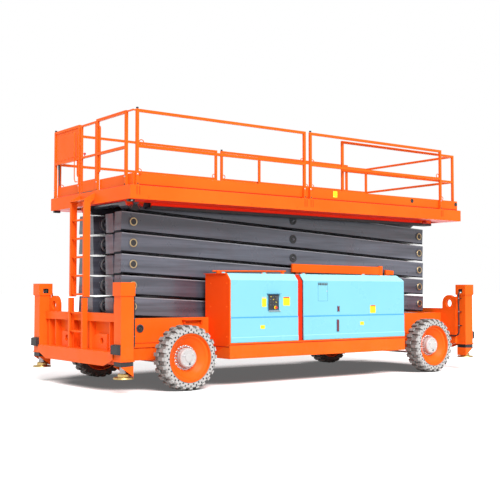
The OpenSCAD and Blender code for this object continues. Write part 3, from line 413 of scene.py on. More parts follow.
MARGIN = 0.0005
LEVEL_COUNT = 6
LEVEL_RISE = 0.315
PIN_X = 3.086
PIVOT_Z = 0.890
ARM_LENGTH = math.hypot(2 * PIN_X, LEVEL_RISE)
ARM_SLOPE = math.asin(LEVEL_RISE / ARM_LENGTH)
MIDDLE_BOSS = 0.006
INNER_BOSS = 0.012
OUTER_BOSS = 0.014
ARM_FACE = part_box("outer_2")[1].y - OUTER_BOSS
ARM_HALF = 0.1415
PAST_FIRST_PIN = 0.200
PAST_LAST_PIN = 0.110
POST_X = 3.600
POST_Y = 1.330
POST_HALF = 0.100
POST_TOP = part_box("end_frame_front")[1].z
BUMPER_X = POST_X + POST_HALF + 0.003
BAND_Z = (0.391, 0.455)
HOSE_X = 3.4495
GIRDER_FACE = 0.893
TRACK_TOP = 2.7005
TRACK_Y = 0.8905
AXLE_X = 2.590
WHEEL_Y = 1.350
WHEEL_Z = 0.471
WHEELS = {"fl": (-1, -1), "fr": (-1, 1), "rl": (1, -1), "rr": (1, 1)}
RIM_EDGE = 0.138
FLANGE_IN = 0.158
HUB_IN = 0.050
HUB_R = 0.138
BOX_X = 1.870
BOX_FACE = 1.450
DIVIDER_X = (-0.533, -0.421)
HOOD_FACE = 1.436
HOOD_MIDDLE_FACE = 1.443
HOOD_CREASE_Z = 1.034
HOOD_STEP_Z = 0.735


def wheel_centre(tag):
    sx, sy = WHEELS[tag]
    return Vector((sx * AXLE_X, sy * WHEEL_Y, WHEEL_Z))


# Finishes of the CAD nodes

def soften(obj, width):
    """Rounds a node's sharp edges a little, so that they catch light."""
    weld = obj.modifiers.new("weld", "WELD")
    weld.merge_threshold = 0.00003
    edge = obj.modifiers.new("edge", "BEVEL")
    edge.width = width
    edge.segments = 2
    edge.limit_method = "ANGLE"
    edge.angle_limit = math.radians(40)
    edge.use_clamp_overlap = True
    shade = obj.modifiers.new("shade", "WEIGHTED_NORMAL")
    shade.keep_sharp = False


def repaint(node, mat, test):
    """Gives a material to the faces of a node whose centre and normal pass a test."""
    mesh = NODES[node].data
    if mat.name not in mesh.materials:
        mesh.materials.append(mat)
    pick = mesh.materials.find(mat.name)
    for face in mesh.polygons:
        if test(face.center, face.normal):
            face.material_index = pick


def near(value, middle, half):
    return abs(value - middle) < half


def between(value, ends):
    low, high = ends
    return low < value < high


def finish_end_frame(node):
    """Dark rubber bands and bumpers, hoses behind the posts, and the openings in the posts' caps."""
    post_side = 1.2
    bumper_z = (0.54, 0.71)
    hose_r = 0.0142
    hose_back = 3.499
    hose_z = (1.36, 1.452)
    opening_x = (3.486, 3.561)
    opening_y = (1.216, 1.291)
    opening_z = POST_TOP - 0.118
    opening_half = 0.0455
    opening_rise = 0.04
    repaint(node, BLACK, lambda c, n: abs(c.y) > post_side and between(c.z, BAND_Z))
    repaint(node, BLACK, lambda c, n: abs(c.x) > BUMPER_X and abs(c.y) > post_side and between(c.z, bumper_z))
    repaint(node, BLACK, lambda c, n: abs(c.x) < HOSE_X)
    repaint(node, BLACK, lambda c, n: near(abs(c.y), POST_Y, hose_r) and abs(c.x) < hose_back
            and between(c.z, hose_z))
    repaint(node, BLACK, lambda c, n: near(abs(c.y), POST_Y, opening_half) and between(abs(c.x), opening_x)
            and near(c.z, opening_z, opening_rise))
    repaint(node, BLACK, lambda c, n: near(abs(c.x), POST_X, opening_half) and between(abs(c.y), opening_y)
            and near(c.z, opening_z, opening_rise))


def finish_wheel(tag):
    """Painted shade on tyre backs and rim backs, a silver hub, and the bare leg of the outrigger beside the
    wheel.
    """
    rim_inside = 0.336
    foot_top = 0.30
    sleeve_low = POST_TOP - 0.125
    at = wheel_centre(tag)
    side = WHEELS[tag][1]
    flange = RIM_EDGE - FLANGE_IN - MARGIN
    flange_back = flange - 0.002

    def outward(p):
        return side * (p.y - at.y)

    def radius(p):
        return math.hypot(p.x - at.x, p.z - at.z)

    # Painted shade: the tyre's inner wall and the rim's back darker.
    repaint(f"tyre_{tag}", TYRE_BACK_SHADE, lambda p, n: side * n.y < -0.5)
    repaint(f"rim_{tag}", MACHINE, lambda p, n: outward(p) < flange_back and radius(p) < rim_inside)
    repaint(f"rim_{tag}", SILVER, lambda p, n: outward(p) > flange and radius(p) < HUB_R + 0.001)
    repaint(f"leg_{tag}", ROD, lambda p, n: p.z > foot_top and abs(n.z) < 0.5)
    repaint(f"leg_{tag}", MACHINE, lambda p, n: p.z > sleeve_low)


def finish_stack():
    """Dark steel for what stands proud of the arms' faces, dark paint and chrome for the cylinders."""
    middle_half = 0.2
    rod_half = 0.056
    proud = ARM_FACE + MARGIN
    boss = proud + 0.008
    for k in range(1, LEVEL_COUNT + 1):
        repaint(f"outer_{k}", DARK_STEEL, lambda c, n: abs(c.y) > boss
                or (abs(c.x) < middle_half and abs(c.y) > proud))
        repaint(f"inner_{k}", DARK_STEEL, lambda c, n: abs(c.y) > proud)
    for node in ("barrel_low", "barrel_high"):
        NODES[node].data.materials[0] = GREY
    for node in ("rod_low", "rod_high"):
        repaint(node, CHROME, lambda c, n: abs(c.y) < rod_half)


def finish_chassis():
    """Dark steel for the bosses of the fixed pins, and paint for the axles and the engine."""
    boss_half = 0.07
    boss_low = 0.8
    proud = GIRDER_FACE + MARGIN
    repaint("chassis_frame", DARK_STEEL, lambda c, n: abs(c.y) > proud and near(c.x, -PIN_X, boss_half)
            and c.z > boss_low)
    for node in ("axle_front", "axle_rear"):
        NODES[node].data.materials[0] = ORANGE
    NODES["engine"].data.materials[0] = MACHINE


def finish_platform():
    """Painted shade in deep red on the soffit and upper track, black lower track, tread plate on both decks.
    """
    soffit_z = (2.735, 2.765)
    deck_z = (2.935, 2.975)
    track_z = (TRACK_TOP, 2.745)
    # Painted shade: the soffit and upper track in deep red.
    repaint("platform_deck", DEEP_SHADE_RED, lambda c, n: n.z < -0.9 and between(c.z, soffit_z))
    repaint("platform_deck", DEEP_SHADE_RED, lambda c, n: abs(c.y) < TRACK_Y and between(c.z, track_z))
    repaint("platform_deck", BLACK, lambda c, n: abs(c.y) < TRACK_Y and c.z < TRACK_TOP)
    for node in ("platform_deck", "extension_deck"):
        repaint(node, TREAD, lambda c, n: n.z > 0.9 and between(c.z, deck_z))


def finish_side_boxes():
    """Painted shade: redder tray end walls and divider. Painted highlight: paler hood slopes."""
    wall_x = BOX_X - 0.002
    wall_low = 0.60
    divider_y = 1.0
    divider_low = 0.66
    slope_low = 1.5
    for node in ("tray_left", "tray_right"):
        # Painted shade: the end walls in a redder orange.
        repaint(node, ORANGE_SHADED, lambda c, n: abs(n.x) > 0.9 and abs(c.x) > wall_x and c.z > wall_low)
        # Painted shade: the recessed divider in deep red.
        repaint(node, DEEP_SHADE_RED, lambda c, n: between(c.x, DIVIDER_X) and abs(c.y) > divider_y
                and c.z > divider_low)
    for node in ("hood_lf", "hood_lr", "hood_rf", "hood_rr"):
        # Painted highlight: the hoods' upward slopes paler.
        repaint(node, PALE_HIGHLIGHT, lambda c, n: n.z > 0.3 and c.z > slope_low)


def finish_nodes():
    """Paints each CAD node, then rounds the edges of all but the tyres and tie rods."""
    slots = {s["node"]: s["material_slot"] for s in frame["record"]["subparts"]}
    for name, obj in NODES.items():
        obj.data.materials.clear()
        obj.data.materials.append(SKIN[slots[name]])
    for node in ("end_frame_front", "end_frame_rear"):
        finish_end_frame(node)
    for tag in WHEELS:
        finish_wheel(tag)
    finish_stack()
    finish_chassis()
    finish_platform()
    finish_side_boxes()
    for node in NODES:
        if not node.startswith(("tyre", "tie_rod")):
            broad = node.startswith(("inner", "outer", "hood", "end_frame", "tray"))
            soften(NODES[node], 0.004 if broad else 0.0025)


# Wheels

def spoke(radius, turn):
    """A point of a circle in a wheel's plane."""
    return Vector((radius * math.cos(turn), 0, radius * math.sin(turn)))


def wheel_bolts(tag):
    """Flange studs, hub cover with its bolts and plugs, and the hub's ribs."""
    stud = [(0.009, 0.01), (0.009, 0.036), (0.007, 0.038)]
    ao_shade = [(0.062, -0.002), (0.062, 0.005), (0.056, 0.008), (0.02, 0.008)]
    plug = [(0.017, -0.001), (0.017, 0.006), (0.014, 0.009)]
    plug_head = [(0.008, 0.008), (0.008, 0.015), (0.007, 0.016)]
    rib = [(HUB_R - 0.002, 0), (HUB_R + 0.003, 0.002), (HUB_R + 0.003, 0.008), (HUB_R - 0.002, 0.01)]
    studs = 22
    stud_ring = HUB_R + 0.026
    cover_bolts = 12
    cover_ring = 0.112
    plug_ring = 0.088
    at = wheel_centre(tag)
    out = Vector((0, WHEELS[tag][1], 0))
    flange = at + out * (RIM_EDGE - FLANGE_IN)
    hub = at + out * (RIM_EDGE - HUB_IN)
    kit = Kit(f"wheel_bolts_{tag}", f"wheel_{tag}")
    for i in range(studs):
        p = flange + spoke(stud_ring, math.tau * i / studs)
        kit.bolt(p, out, 0.015)
        kit.turned(p, out, stud, STEEL, 10)
    kit.turned(hub, out, ao_shade, SILVER, 32)
    for i in range(cover_bolts):
        kit.bolt(hub + spoke(cover_ring, math.tau * (i + 0.5) / cover_bolts), out, 0.007)
    for turn, mat in ((0.6, STEEL), (2.7, STEEL), (4.9, DARK_STEEL)):
        p = hub + spoke(plug_ring, turn)
        kit.turned(p, out, plug, mat, 16)
        kit.turned(p, out, plug_head, STEEL, 6)
    for h in (0.03, 0.075):
        kit.turned(flange + out * h, out, rib, SILVER, 40)
    kit.done()


def sidewall_holes(tag):
    """Two rings of moulded holes in the tyre's outer wall, each a black disc of painted shade in a rubber
    lip.
    """
    lip = [(0.0150, -0.001), (0.0150, 0.0008), (0.0135, 0.0016)]
    hole = [(0.0128, 0.0005), (0.0128, 0.002), (0.003, 0.0021)]
    holes = 26
    wall_out = 0.142
    out = Vector((0, WHEELS[tag][1], 0))
    wall = wheel_centre(tag) + out * wall_out
    kit = Kit(f"sidewall_holes_{tag}", f"wheel_{tag}")
    for radius, shift in ((0.374, 0.0), (0.401, 0.5)):
        for i in range(holes):
            p = wall + spoke(radius, math.tau * (i + shift) / holes)
            kit.turned(p, out, lip, TYRE, 14)
            # Painted shade: a black disc for the hole's dark inside.
            kit.turned(p, out, hole, BLACK, 14)
    kit.done()


# Scissor stack

def pin_cap(kit, at, out):
    """A plated ring with a dark core, on the end of a pin."""
    cap = [(0.064, -0.001), (0.064, 0.005), (0.060, 0.009), (0.048, 0.009), (0.044, 0.002)]
    core = [(0.046, -0.001), (0.046, 0.004), (0.034, 0.006), (0.012, 0.006)]
    kit.turned(at, out, cap, RING, 32)
    kit.turned(at, out, core, BLACK, 28)


def pin_details(k):
    """Rings on the middle pins of a level, and caps on its end pins."""
    ring = [(0.072, -0.001), (0.072, 0.004), (0.062, 0.007), (0.050, 0.007), (0.044, 0.001)]
    middle_z = PIVOT_Z + (k - 0.5) * LEVEL_RISE
    end_z = PIVOT_Z + k * LEVEL_RISE
    kit = Kit(f"pin_caps_outer_{k}", f"outer_{k}")
    for s in SIDES:
        out = Vector((0, s, 0))
        middle = Vector((0, s * (ARM_FACE + MIDDLE_BOSS), middle_z))
        kit.turned(middle, out, ring, BLACK, 28)
        kit.bolt(middle + out * 0.002, out, 0.018, DARK_STEEL)
        if k < LEVEL_COUNT:
            pin_cap(kit, Vector((-PIN_X, s * (ARM_FACE + OUTER_BOSS), end_z)), out)
    kit.done()
    if k < LEVEL_COUNT:
        kit = Kit(f"pin_caps_inner_{k}", f"inner_{k}")
        for s in SIDES:
            pin_cap(kit, Vector((PIN_X, s * (ARM_FACE + INNER_BOSS), end_z)), Vector((0, s, 0)))
        kit.done()


def arm_painted_light(k):
    """Painted shadow on the lower and painted highlight on the upper edges of the outer arms, so level gaps
    look deep.
    """
    shadow_strip = 0.018
    highlight_strip = 0.012
    start = 0.0 if k == LEVEL_COUNT else -PAST_FIRST_PIN
    stop = ARM_LENGTH + PAST_LAST_PIN
    tilt = Matrix.Rotation(ARM_SLOPE, 4, "Y")
    first_pin = Matrix.Translation((-PIN_X, 0, PIVOT_Z + k * LEVEL_RISE)) @ tilt
    kit = Kit(f"arm_painted_light_{k}", f"outer_{k}")
    # A black strip of painted shadow below, and a light grey strip of painted highlight above.
    for way, tall, mat in ((-1, shadow_strip, SHADE), (1, highlight_strip, GREY_HIGHLIGHT)):
        for s in SIDES:
            at = first_pin @ Vector(((start + stop) / 2, s * ARM_FACE, way * (ARM_HALF - tall / 2)))
            kit.block(at, (stop - start - 0.008, 0.003, tall), mat, 0.001, tilt)
    kit.done()


def stack_hoses(k):
    """Hydraulic hoses that run along an inner arm and turn back round the pin at the ladder end."""
    hose_r = 0.017
    reach = 1.1
    bend = 0.098
    steps = 10
    tail = (0.15, 0.35)
    collar = [(0.019, -0.002), (0.019, 0.05), (0.017, 0.056)]
    route = [(reach, bend), (reach / 2, bend)]
    for i in range(steps + 1):
        a = math.pi * i / steps
        route.append((-bend * math.sin(a), bend * math.cos(a)))
    route += [(u, -bend) for u in tail]
    slope_cos = math.cos(ARM_SLOPE)
    slope_sin = math.sin(ARM_SLOPE)
    first_z = PIVOT_Z + (k - 1) * LEVEL_RISE
    kit = Kit(f"stack_hoses_{k}", f"inner_{k}")
    for y, grow in ((-0.150, 1.0), (-0.105, 1.12), (0.120, 1.0)):
        points = []
        for u, v in route:
            if u <= 0:
                u *= grow
            v *= grow
            x = -PIN_X + u * slope_cos - v * slope_sin
            points.append((x, y, first_z + u * slope_sin + v * slope_cos))
        kit.pipe(points, hose_r, HOSE)
        for at, beyond in ((points[0], points[1]), (points[-1], points[-2])):
            kit.turned(at, Vector(beyond) - Vector(at), collar, STEEL, 12)
    kit.done()


# Hoods and their trays

def control_panel():
    """The ground control recess with blank keys and a stop button, and the plates beside it."""
    wide = 0.208
    tall = 0.240
    key_base = [(0.011, -0.001), (0.011, 0.003), (0.008, 0.005)]
    key_cap = [(0.007, 0.004), (0.007, 0.010), (0.005, 0.012)]
    stop_base = [(0.027, -0.001), (0.027, 0.004), (0.022, 0.006)]
    stop_knob = [(0.012, 0.005), (0.012, 0.016), (0.021, 0.018), (0.021, 0.026), (0.015, 0.032)]
    first_key = Vector((-0.06, 0, 0.085))
    key_step = 0.05
    row_step = 0.042
    at = Vector((-1.032, -HOOD_FACE, 1.262))
    front = at + LEFT * 0.012
    kit = Kit("control_panel", "hood_lf")
    kit.block(at + LEFT * 0.004, (wide + 0.014, 0.010, tall + 0.014), SEAM, 0.003)
    kit.block(at + LEFT * 0.008, (wide - 0.006, 0.008, tall - 0.006), PANEL, 0.003)
    for row in range(4):
        for col in range(3):
            p = front + first_key + Vector((col * key_step, 0, -row * row_step))
            kit.turned(p, LEFT, key_base, DARK_STEEL, 14)
            kit.turned(p, LEFT, key_cap, YELLOW if row == col else MACHINE, 12)
    kit.block(front + Vector((0.07, 0, 0.06)), (0.036, 0.006, 0.07), MACHINE, 0.002)
    stop = front + Vector((0.034, 0, -0.082))
    kit.turned(stop, LEFT, stop_base, YELLOW)
    kit.turned(stop, LEFT, stop_knob, RED)
    kit.block(at + Vector((0, -0.026, tall / 2 + 0.010)), (wide + 0.05, 0.052, 0.006), SEAM, 0.002)
    kit.block(front + Vector((0.02, 0, -tall / 2 - 0.014)), (wide + 0.02, 0.022, 0.010), SILVER, 0.003)
    kit.plate((-1.212, -HOOD_FACE, 1.268), 0.085, 0.150, YELLOW, head=SILVER)
    kit.plate((-0.768, -HOOD_FACE, 1.276), 0.135, 0.135, YELLOW, head=RED)
    kit.plate((-1.245, -HOOD_MIDDLE_FACE, 0.885), 0.085, 0.055, YELLOW, rivets=False)
    kit.done()


def hood_latch(kit, at, tall):
    """A dark red grip in a blue surround, with a screw at each end."""
    screw = [(0.005, -0.001), (0.005, 0.004), (0.003, 0.006)]
    kit.block(at, (0.056, 0.008, tall), SEAM, 0.006)
    kit.block(at + LEFT * 0.006, (0.042, 0.012, tall - 0.016), MAROON, 0.005)
    for e in SIDES:
        kit.turned(at + Vector((0, -0.004, e * (tall / 2 - 0.008))), LEFT, screw, STEEL, 10)


def filler_door(kit):
    """The outline of a small door with a row of vents near its top and a round lock."""
    lock = [(0.010, -0.001), (0.010, 0.004), (0.006, 0.006)]
    line = 0.004
    vents = 6
    vent_step = 0.034
    start = -0.110
    top = 1.575
    wide = 0.204
    tall = 0.299
    mid = Vector((start + wide / 2, -HOOD_FACE, top - tall / 2))
    for e in SIDES:
        kit.block(mid + Vector((e * wide / 2, 0, 0)), (line, line, tall), SEAM, 0.001)
        kit.block(mid + Vector((0, 0, e * tall / 2)), (wide, line, line), SEAM, 0.001)
    for i in range(vents):
        vent = Vector((start + 0.018 + i * vent_step, -HOOD_FACE - 0.002, top - 0.028))
        kit.block(vent, (0.024, 0.008, 0.034), DARK_STEEL, 0.003)
    kit.turned(mid + Vector((0.086, 0, 0.01)), LEFT, lock, STEEL, 14)


def hood_latches():
    """Plates, latches and the filler door of the left rear hood."""
    kit = Kit("hood_latches", "hood_lr")
    kit.plate((1.115, -HOOD_FACE, 1.133), 0.130, 0.130, YELLOW, head=RED)
    kit.plate((0.855, -HOOD_MIDDLE_FACE, 0.900), 0.085, 0.055, YELLOW, rivets=False)
    hood_latch(kit, Vector((0.329, -HOOD_FACE, 1.146)), 0.100)
    hood_latch(kit, Vector((0.310, -HOOD_MIDDLE_FACE, 0.873)), 0.205)
    filler_door(kit)
    kit.done()


def hood_fixings(tag, side):
    """Painted shade on the crease line, painted highlight on the lower hem, grips on the far side, small
    painted rivets.
    """
    rivet = [(0.008, -0.001), (0.008, 0.002), (0.005, 0.004)]
    crease_y = 1.4405
    hem_y = 1.4475
    hem_z = 0.737
    grip_inset = 0.35
    grip_z = 0.86
    rivet_inset = 0.05
    rivet_heights = (0.70, 1.00, 1.30, 1.56)
    out = Vector((0, side, 0))
    lo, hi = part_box(f"hood_{tag}")
    middle = (lo.x + hi.x) / 2
    run = hi.x - lo.x - 0.004
    kit = Kit(f"hood_fixings_{tag}", f"hood_{tag}")
    # Painted shade along the crease.
    kit.block(Vector((middle, side * crease_y, HOOD_CREASE_Z)), (run, 0.008, 0.020), CREASE_SHADE, 0.002)
    # Painted highlight along the lower hem.
    kit.block(Vector((middle, side * hem_y, hem_z)), (run, 0.006, 0.014), PALE_HIGHLIGHT, 0.002)
    if side > 0:
        for x in (lo.x + grip_inset, hi.x - grip_inset):
            p = Vector((x, HOOD_MIDDLE_FACE, grip_z))
            kit.block(p, (0.036, 0.008, 0.16), PANEL, 0.006)
            kit.block(p + out * 0.006, (0.020, 0.012, 0.138), DARK_STEEL, 0.005)
    for x in (lo.x + rivet_inset, hi.x - rivet_inset):
        for z in rivet_heights:
            face = HOOD_FACE
            if z < HOOD_STEP_Z:
                face = BOX_FACE
            elif z < HOOD_CREASE_Z:
                face = HOOD_MIDDLE_FACE
            kit.turned(Vector((x, side * face, z)), out, rivet, CYAN, 12)
    kit.done()


def tray_fixings(tag, side):
    """Painted bolts of a tray, and painted shadow lines in red along its seams."""
    bolts = 9
    inset = 0.12
    bolt_z = 0.445
    flange_shadow_line_z = 0.630
    wall_shadow_line_z = 0.600
    out = Vector((0, side, 0))
    lo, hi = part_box(f"tray_{tag}")
    step = (hi.x - lo.x - 2 * inset) / (bolts - 1)
    kit = Kit(f"tray_fixings_{tag}", "chassis")
    for i in range(bolts):
        kit.bolt(Vector((lo.x + inset + i * step, side * BOX_FACE, bolt_z)), out, 0.009, ORANGE)
    # Painted shadow line in red below the hoods.
    kit.block(Vector((0, side * BOX_FACE, flange_shadow_line_z)), (hi.x - lo.x - 0.01, 0.004, 0.014), SHADOW_RED, 0.001)
    for z in (0.75, 1.20, 1.55):
        for y in (0.95, 1.37):
            kit.bolt(Vector((-BOX_X, side * y, z)), FORWARD, 0.008, ORANGE)
    # Painted shadow line in red across the end wall.
    kit.block(Vector((-BOX_X, side * 1.16, wall_shadow_line_z)), (0.004, 0.54, 0.012), SHADOW_RED, 0.001)
    kit.done()


def hood_stay():
    """The thin bar that lies behind the front hood, on two brackets."""
    bracket_y = -0.866
    bracket_z = 1.70
    start = Vector((-1.765, -0.842, 1.745))
    end = Vector((-0.30, -0.842, 1.762))
    kit = Kit("hood_stay", "chassis")
    kit.pipe([start, (start + end) / 2, end], 0.013, ORANGE)
    for part in (0.06, 0.94):
        bracket = Vector((start.lerp(end, part).x, bracket_y, bracket_z))
        kit.block(bracket, (0.05, 0.048, 0.12), ORANGE, 0.006)
    kit.done()


# Platform, rails and gate

RAIL_Y = 1.254
RAIL_MID_Z = 3.500
RAIL_TOP_Z = 4.028
RAIL_POSTS = (-3.360, -0.240, -0.110, 3.043)
TOE_FACE = 1.226
SEAM_PLUG = [(0.011, -0.001), (0.011, 0.003), (0.004, 0.004)]
SMALL_LOOP = (0.034, 0.007)


def platform_side(kit, side):
    """Post fixings and wire loops of a long side; painted shade: black in toe-board holes, red in slots and
    seams.
    """
    toe_hole = [(0.036, -0.001), (0.036, 0.006), (0.024, 0.008), (0.018, 0.002)]
    corner_stud = [(0.014, -0.002), (0.014, 0.014), (0.010, 0.018)]
    post_face = 1.274
    post_bolt_z = 3.095
    plug_z = 2.962
    wire_z = 3.142
    post_slot_shade_z = 2.862
    toe_hole_z = 3.055
    toe_shadow_line_z = 2.953
    beam_bolts = 8
    beam_bolt_z = 2.775
    inset = 0.30
    under_z = 2.722
    out = Vector((0, side, 0))
    lo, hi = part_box("platform_deck")
    run = hi.x - lo.x
    for x in RAIL_POSTS:
        kit.bolt(Vector((x, side * post_face, post_bolt_z)), out, 0.010)
        kit.turned(Vector((x, side * (post_face + 0.006), plug_z)), out, SEAM_PLUG, BLACK, 16)
        kit.loop(Vector((x + 0.042, side * RAIL_Y, wire_z)), out, 0.032, 0.006, ORANGE)
        for e in SIDES:
            # Painted shade in red, one line each side of the post.
            post_slot_shade = Vector((x + e * 0.022, side * hi.y, post_slot_shade_z))
            kit.block(post_slot_shade, (0.010, 0.004, 0.120), DEEP_SHADE_RED, 0.001)
    for x, e in zip(RAIL_POSTS[1:3], SIDES):
        kit.loop(Vector((x + e * 0.044, side * RAIL_Y, RAIL_MID_Z + 0.052)), out, *SMALL_LOOP, ORANGE)
    for x in (2.32, 3.50):
        # Black painted shade for a hole in the toe board.
        kit.turned(Vector((x, side * TOE_FACE, toe_hole_z)), out, toe_hole, BLACK, 20)
    for i in range(beam_bolts):
        x = lo.x + inset + i * (run - 2 * inset) / (beam_bolts - 1)
        kit.bolt(Vector((x, side * hi.y, beam_bolt_z)), out, 0.008, ORANGE)
    # Painted shadow line in red at the foot of the toe board.
    toe_shadow_line = Vector(((lo.x + hi.x) / 2 + 0.04, side * (TOE_FACE + 0.001), toe_shadow_line_z))
    kit.block(toe_shadow_line, (run - 0.14, 0.004, 0.020), DEEP_SHADE_RED, 0.001)
    kit.block(Vector((-3.43, side * 1.20, under_z)), (0.11, 0.05, 0.034), BLACK, 0.006)
    kit.turned(Vector((-3.43, side * 1.225, under_z)), out, corner_stud, STEEL, 16)
    kit.block(Vector((2.96, side * 0.96, under_z)), (0.26, 0.05, 0.036), ORANGE, 0.005)
    # A block of painted shade in dark red, the shaded part of the latch under the platform.
    kit.block(Vector((2.90, side * 0.99, 2.705)), (0.10, 0.03, 0.05), SHADOW_RED, 0.006)


def platform_end(kit):
    """Painted shadow lines in red, threshold, cable and fixings of the ladder end, beside and below the gate.
    """
    end_x = -3.450
    panel_x = -3.436
    rod_x = -3.462
    post_bolt_z = 3.075
    plug_z = 2.965
    panel_bolts = 6
    panel_bolt_y = 0.50
    panel_bolt_step = 0.135
    kit.pipe([(rod_x, 0.515, 3.93), (rod_x, 0.520, 3.50), (rod_x, 0.515, 3.19), (rod_x, 0.485, 3.14),
              (-3.455, 0.430, 3.14)], 0.008, ORANGE)
    # Painted shadow lines in red at the foot of the toe board.
    for y0, y1 in ((-1.18, -0.25), (0.45, 1.18)):
        kit.block(Vector((-3.408, (y0 + y1) / 2, 2.954)), (0.004, y1 - y0, 0.020), DEEP_SHADE_RED, 0.001)
    kit.block(Vector((-3.466, 0.06, 2.944)), (0.046, 0.38, 0.008), DARK_STEEL, 0.002)
    kit.pipe([(panel_x, 1.128, 3.50), (panel_x, 1.100, 3.30), (panel_x, 1.085, 3.14)], 0.010, BLACK)
    kit.pipe([(panel_x, 1.128, 3.50), (panel_x, 1.114, 3.40)], 0.016, BLACK)
    for y in (-0.196, 0.398, -1.065, RAIL_Y):
        kit.bolt(Vector((end_x, y, post_bolt_z)), FORWARD, 0.010)
        kit.turned(Vector((end_x, y, plug_z)), FORWARD, SEAM_PLUG, BLACK, 16)
    for i in range(panel_bolts):
        y = panel_bolt_y + i * panel_bolt_step
        for z in (3.545, 3.955):
            kit.bolt(Vector((panel_x, y, z)), FORWARD, 0.007, ORANGE)


def platform_fixings():
    """Fixings of the platform's sides and ladder end, and caps on the rail posts."""
    post_cap = [(0.016, 0), (0.016, 0.012), (0.020, 0.014), (0.020, 0.024), (0.012, 0.030)]
    kit = Kit("platform_fixings", "platform")
    for side in SIDES:
        platform_side(kit, side)
    kit.plate((0.462, -TOE_FACE - 0.001, 3.052), 0.095, 0.105, YELLOW)
    kit.turned(Vector((-3.430, RAIL_Y, RAIL_TOP_Z)), UP, post_cap, BLACK, 18)
    for x in (RAIL_POSTS[0], RAIL_POSTS[2]):
        for side in SIDES:
            kit.turned(Vector((x, side * RAIL_Y, RAIL_TOP_Z)), UP, post_cap, BLACK, 18)
    platform_end(kit)
    kit.loop(Vector((-3.29, -RAIL_Y, RAIL_MID_Z + 0.056)), RIGHT, 0.038, 0.007, ORANGE)
    kit.loop(Vector((2.975, -RAIL_Y, RAIL_MID_Z + 0.052)), RIGHT, *SMALL_LOOP, ORANGE)
    kit.done()


def gate_latch():
    """The gate's red knob and its lower bolts."""
    knob = [(0.008, -0.01), (0.008, 0.012), (0.019, 0.016), (0.019, 0.034), (0.012, 0.042)]
    kit = Kit("gate_latch", "gate")
    kit.turned(Vector((-3.430, 0.230, 3.530)), UP, knob, RED, 18)
    for z in (2.99, 3.09):
        for y in (-0.13, 0.29):
            kit.bolt(Vector((-3.435, y, z)), FORWARD, 0.008, ORANGE)
    kit.done()


def ladder_bolts():
    """Bolts that hold the upper ladder."""
    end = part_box("upper_ladder")[0].x
    kit = Kit("ladder_bolts", "platform")
    for y, side in ((-0.228, -1), (0.258, 1)):
        for dx, z in ((0.05, 2.79), (0.13, 2.83), (0.10, 2.76)):
            kit.bolt(Vector((end + dx, y, z)), (0, side, 0), 0.009, ORANGE)
    kit.done()


# End frames, axles and machinery

def post_fixings(kit, sx, sy):
    """Bumper screws, hose clips and bolts of one outrigger post."""
    screw = [(0.013, -0.004), (0.013, -0.001), (0.009, 0.0)]
    bumper_face = 3.755
    clip_x = 3.440
    band_face = POST_Y + 0.112
    band_bolt_z = 0.464
    for z in (0.575, 0.68):
        for dy in (-0.06, 0.06):
            kit.turned(Vector((sx * bumper_face, sy * POST_Y + dy, z)), (sx, 0, 0), screw, DARK_STEEL, 14)
    for z in (1.30, 1.05, 0.80):
        p = Vector((sx * clip_x, sy * POST_Y, z))
        kit.block(p + Vector((sx * 0.024, 0, 0)), (0.070, 0.040, 0.014), DARK_STEEL, 0.003)
        kit.loop(p - Vector((sx * 0.005, 0, 0)), UP, 0.0165, 0.003, STEEL)
    for dx in (-0.060, 0.0, 0.060):
        kit.bolt(Vector((sx * (POST_X + dx), sy * band_face, band_bolt_z)), (0, sy, 0), 0.006, ORANGE)


def girder_fixings(kit, sx, sy):
    """Painted shadow lines in red, the cap of the fixed pin and the small shelf over the wheel."""
    ring = [(0.046, -0.001), (0.046, 0.006), (0.034, 0.008), (0.026, 0.002)]
    shadow_line_x = 2.666
    shadow_line_length = 1.55
    # Painted shadow lines in red along the girder's side.
    for z in (0.606, 0.674):
        kit.block(Vector((sx * shadow_line_x, sy * GIRDER_FACE, z)), (shadow_line_length, 0.004, 0.008), SHADOW_RED, 0.001)
    if sx < 0:
        pin = Vector((-PIN_X, sy * (GIRDER_FACE + MIDDLE_BOSS), PIVOT_Z))
        kit.turned(pin, (0, sy, 0), ring, BLACK, 28)
        kit.bolt(pin, (0, sy, 0), 0.016, DARK_STEEL)
    shelf = Vector((sx * 2.18, sy * 0.925, 1.000))
    kit.block(shelf, (0.36, 0.085, 0.010), ORANGE, 0.003)
    for dx in (-0.15, 0.15):
        kit.block(shelf + Vector((dx, -sy * 0.012, -0.030)), (0.010, 0.058, 0.056), ORANGE, 0.003)


def end_fixings(end, sx):
    """Fixings of both posts and girders at one end, with a plated tap between them."""
    tap_body = [(0.026, 0.0), (0.026, 0.012), (0.016, 0.016), (0.016, 0.040), (0.012, 0.044)]
    kit = Kit(f"end_fixings_{end}", "chassis")
    for sy in SIDES:
        post_fixings(kit, sx, sy)
        girder_fixings(kit, sx, sy)
    tap = Vector((sx * 3.489, 0.0, 0.930))
    kit.turned(tap, (sx, 0, 0), tap_body, GOLD, 18)
    kit.block(tap + Vector((sx * 0.046, 0, 0.022)), (0.012, 0.026, 0.070), BLACK, 0.004)
    kit.done()


def axle_bolts(end, sx):
    """Domed covers and bolt rings on both faces of an axle's gear case."""
    dome = [(0.070, -0.001), (0.070, 0.008), (0.045, 0.020), (0.02, 0.022)]
    bolts = 10
    ring = 0.077
    case_half = 0.190
    case_z = 0.461
    kit = Kit(f"axle_bolts_{end}", "chassis")
    for face in SIDES:
        at = Vector((sx * AXLE_X + face * case_half, 0, case_z))
        kit.turned(at, (face, 0, 0), dome, MACHINE)
        for i in range(bolts):
            t = math.tau * i / bolts
            kit.bolt(at + Vector((0, ring * math.cos(t), ring * math.sin(t))), (face, 0, 0), 0.007)
    kit.done()


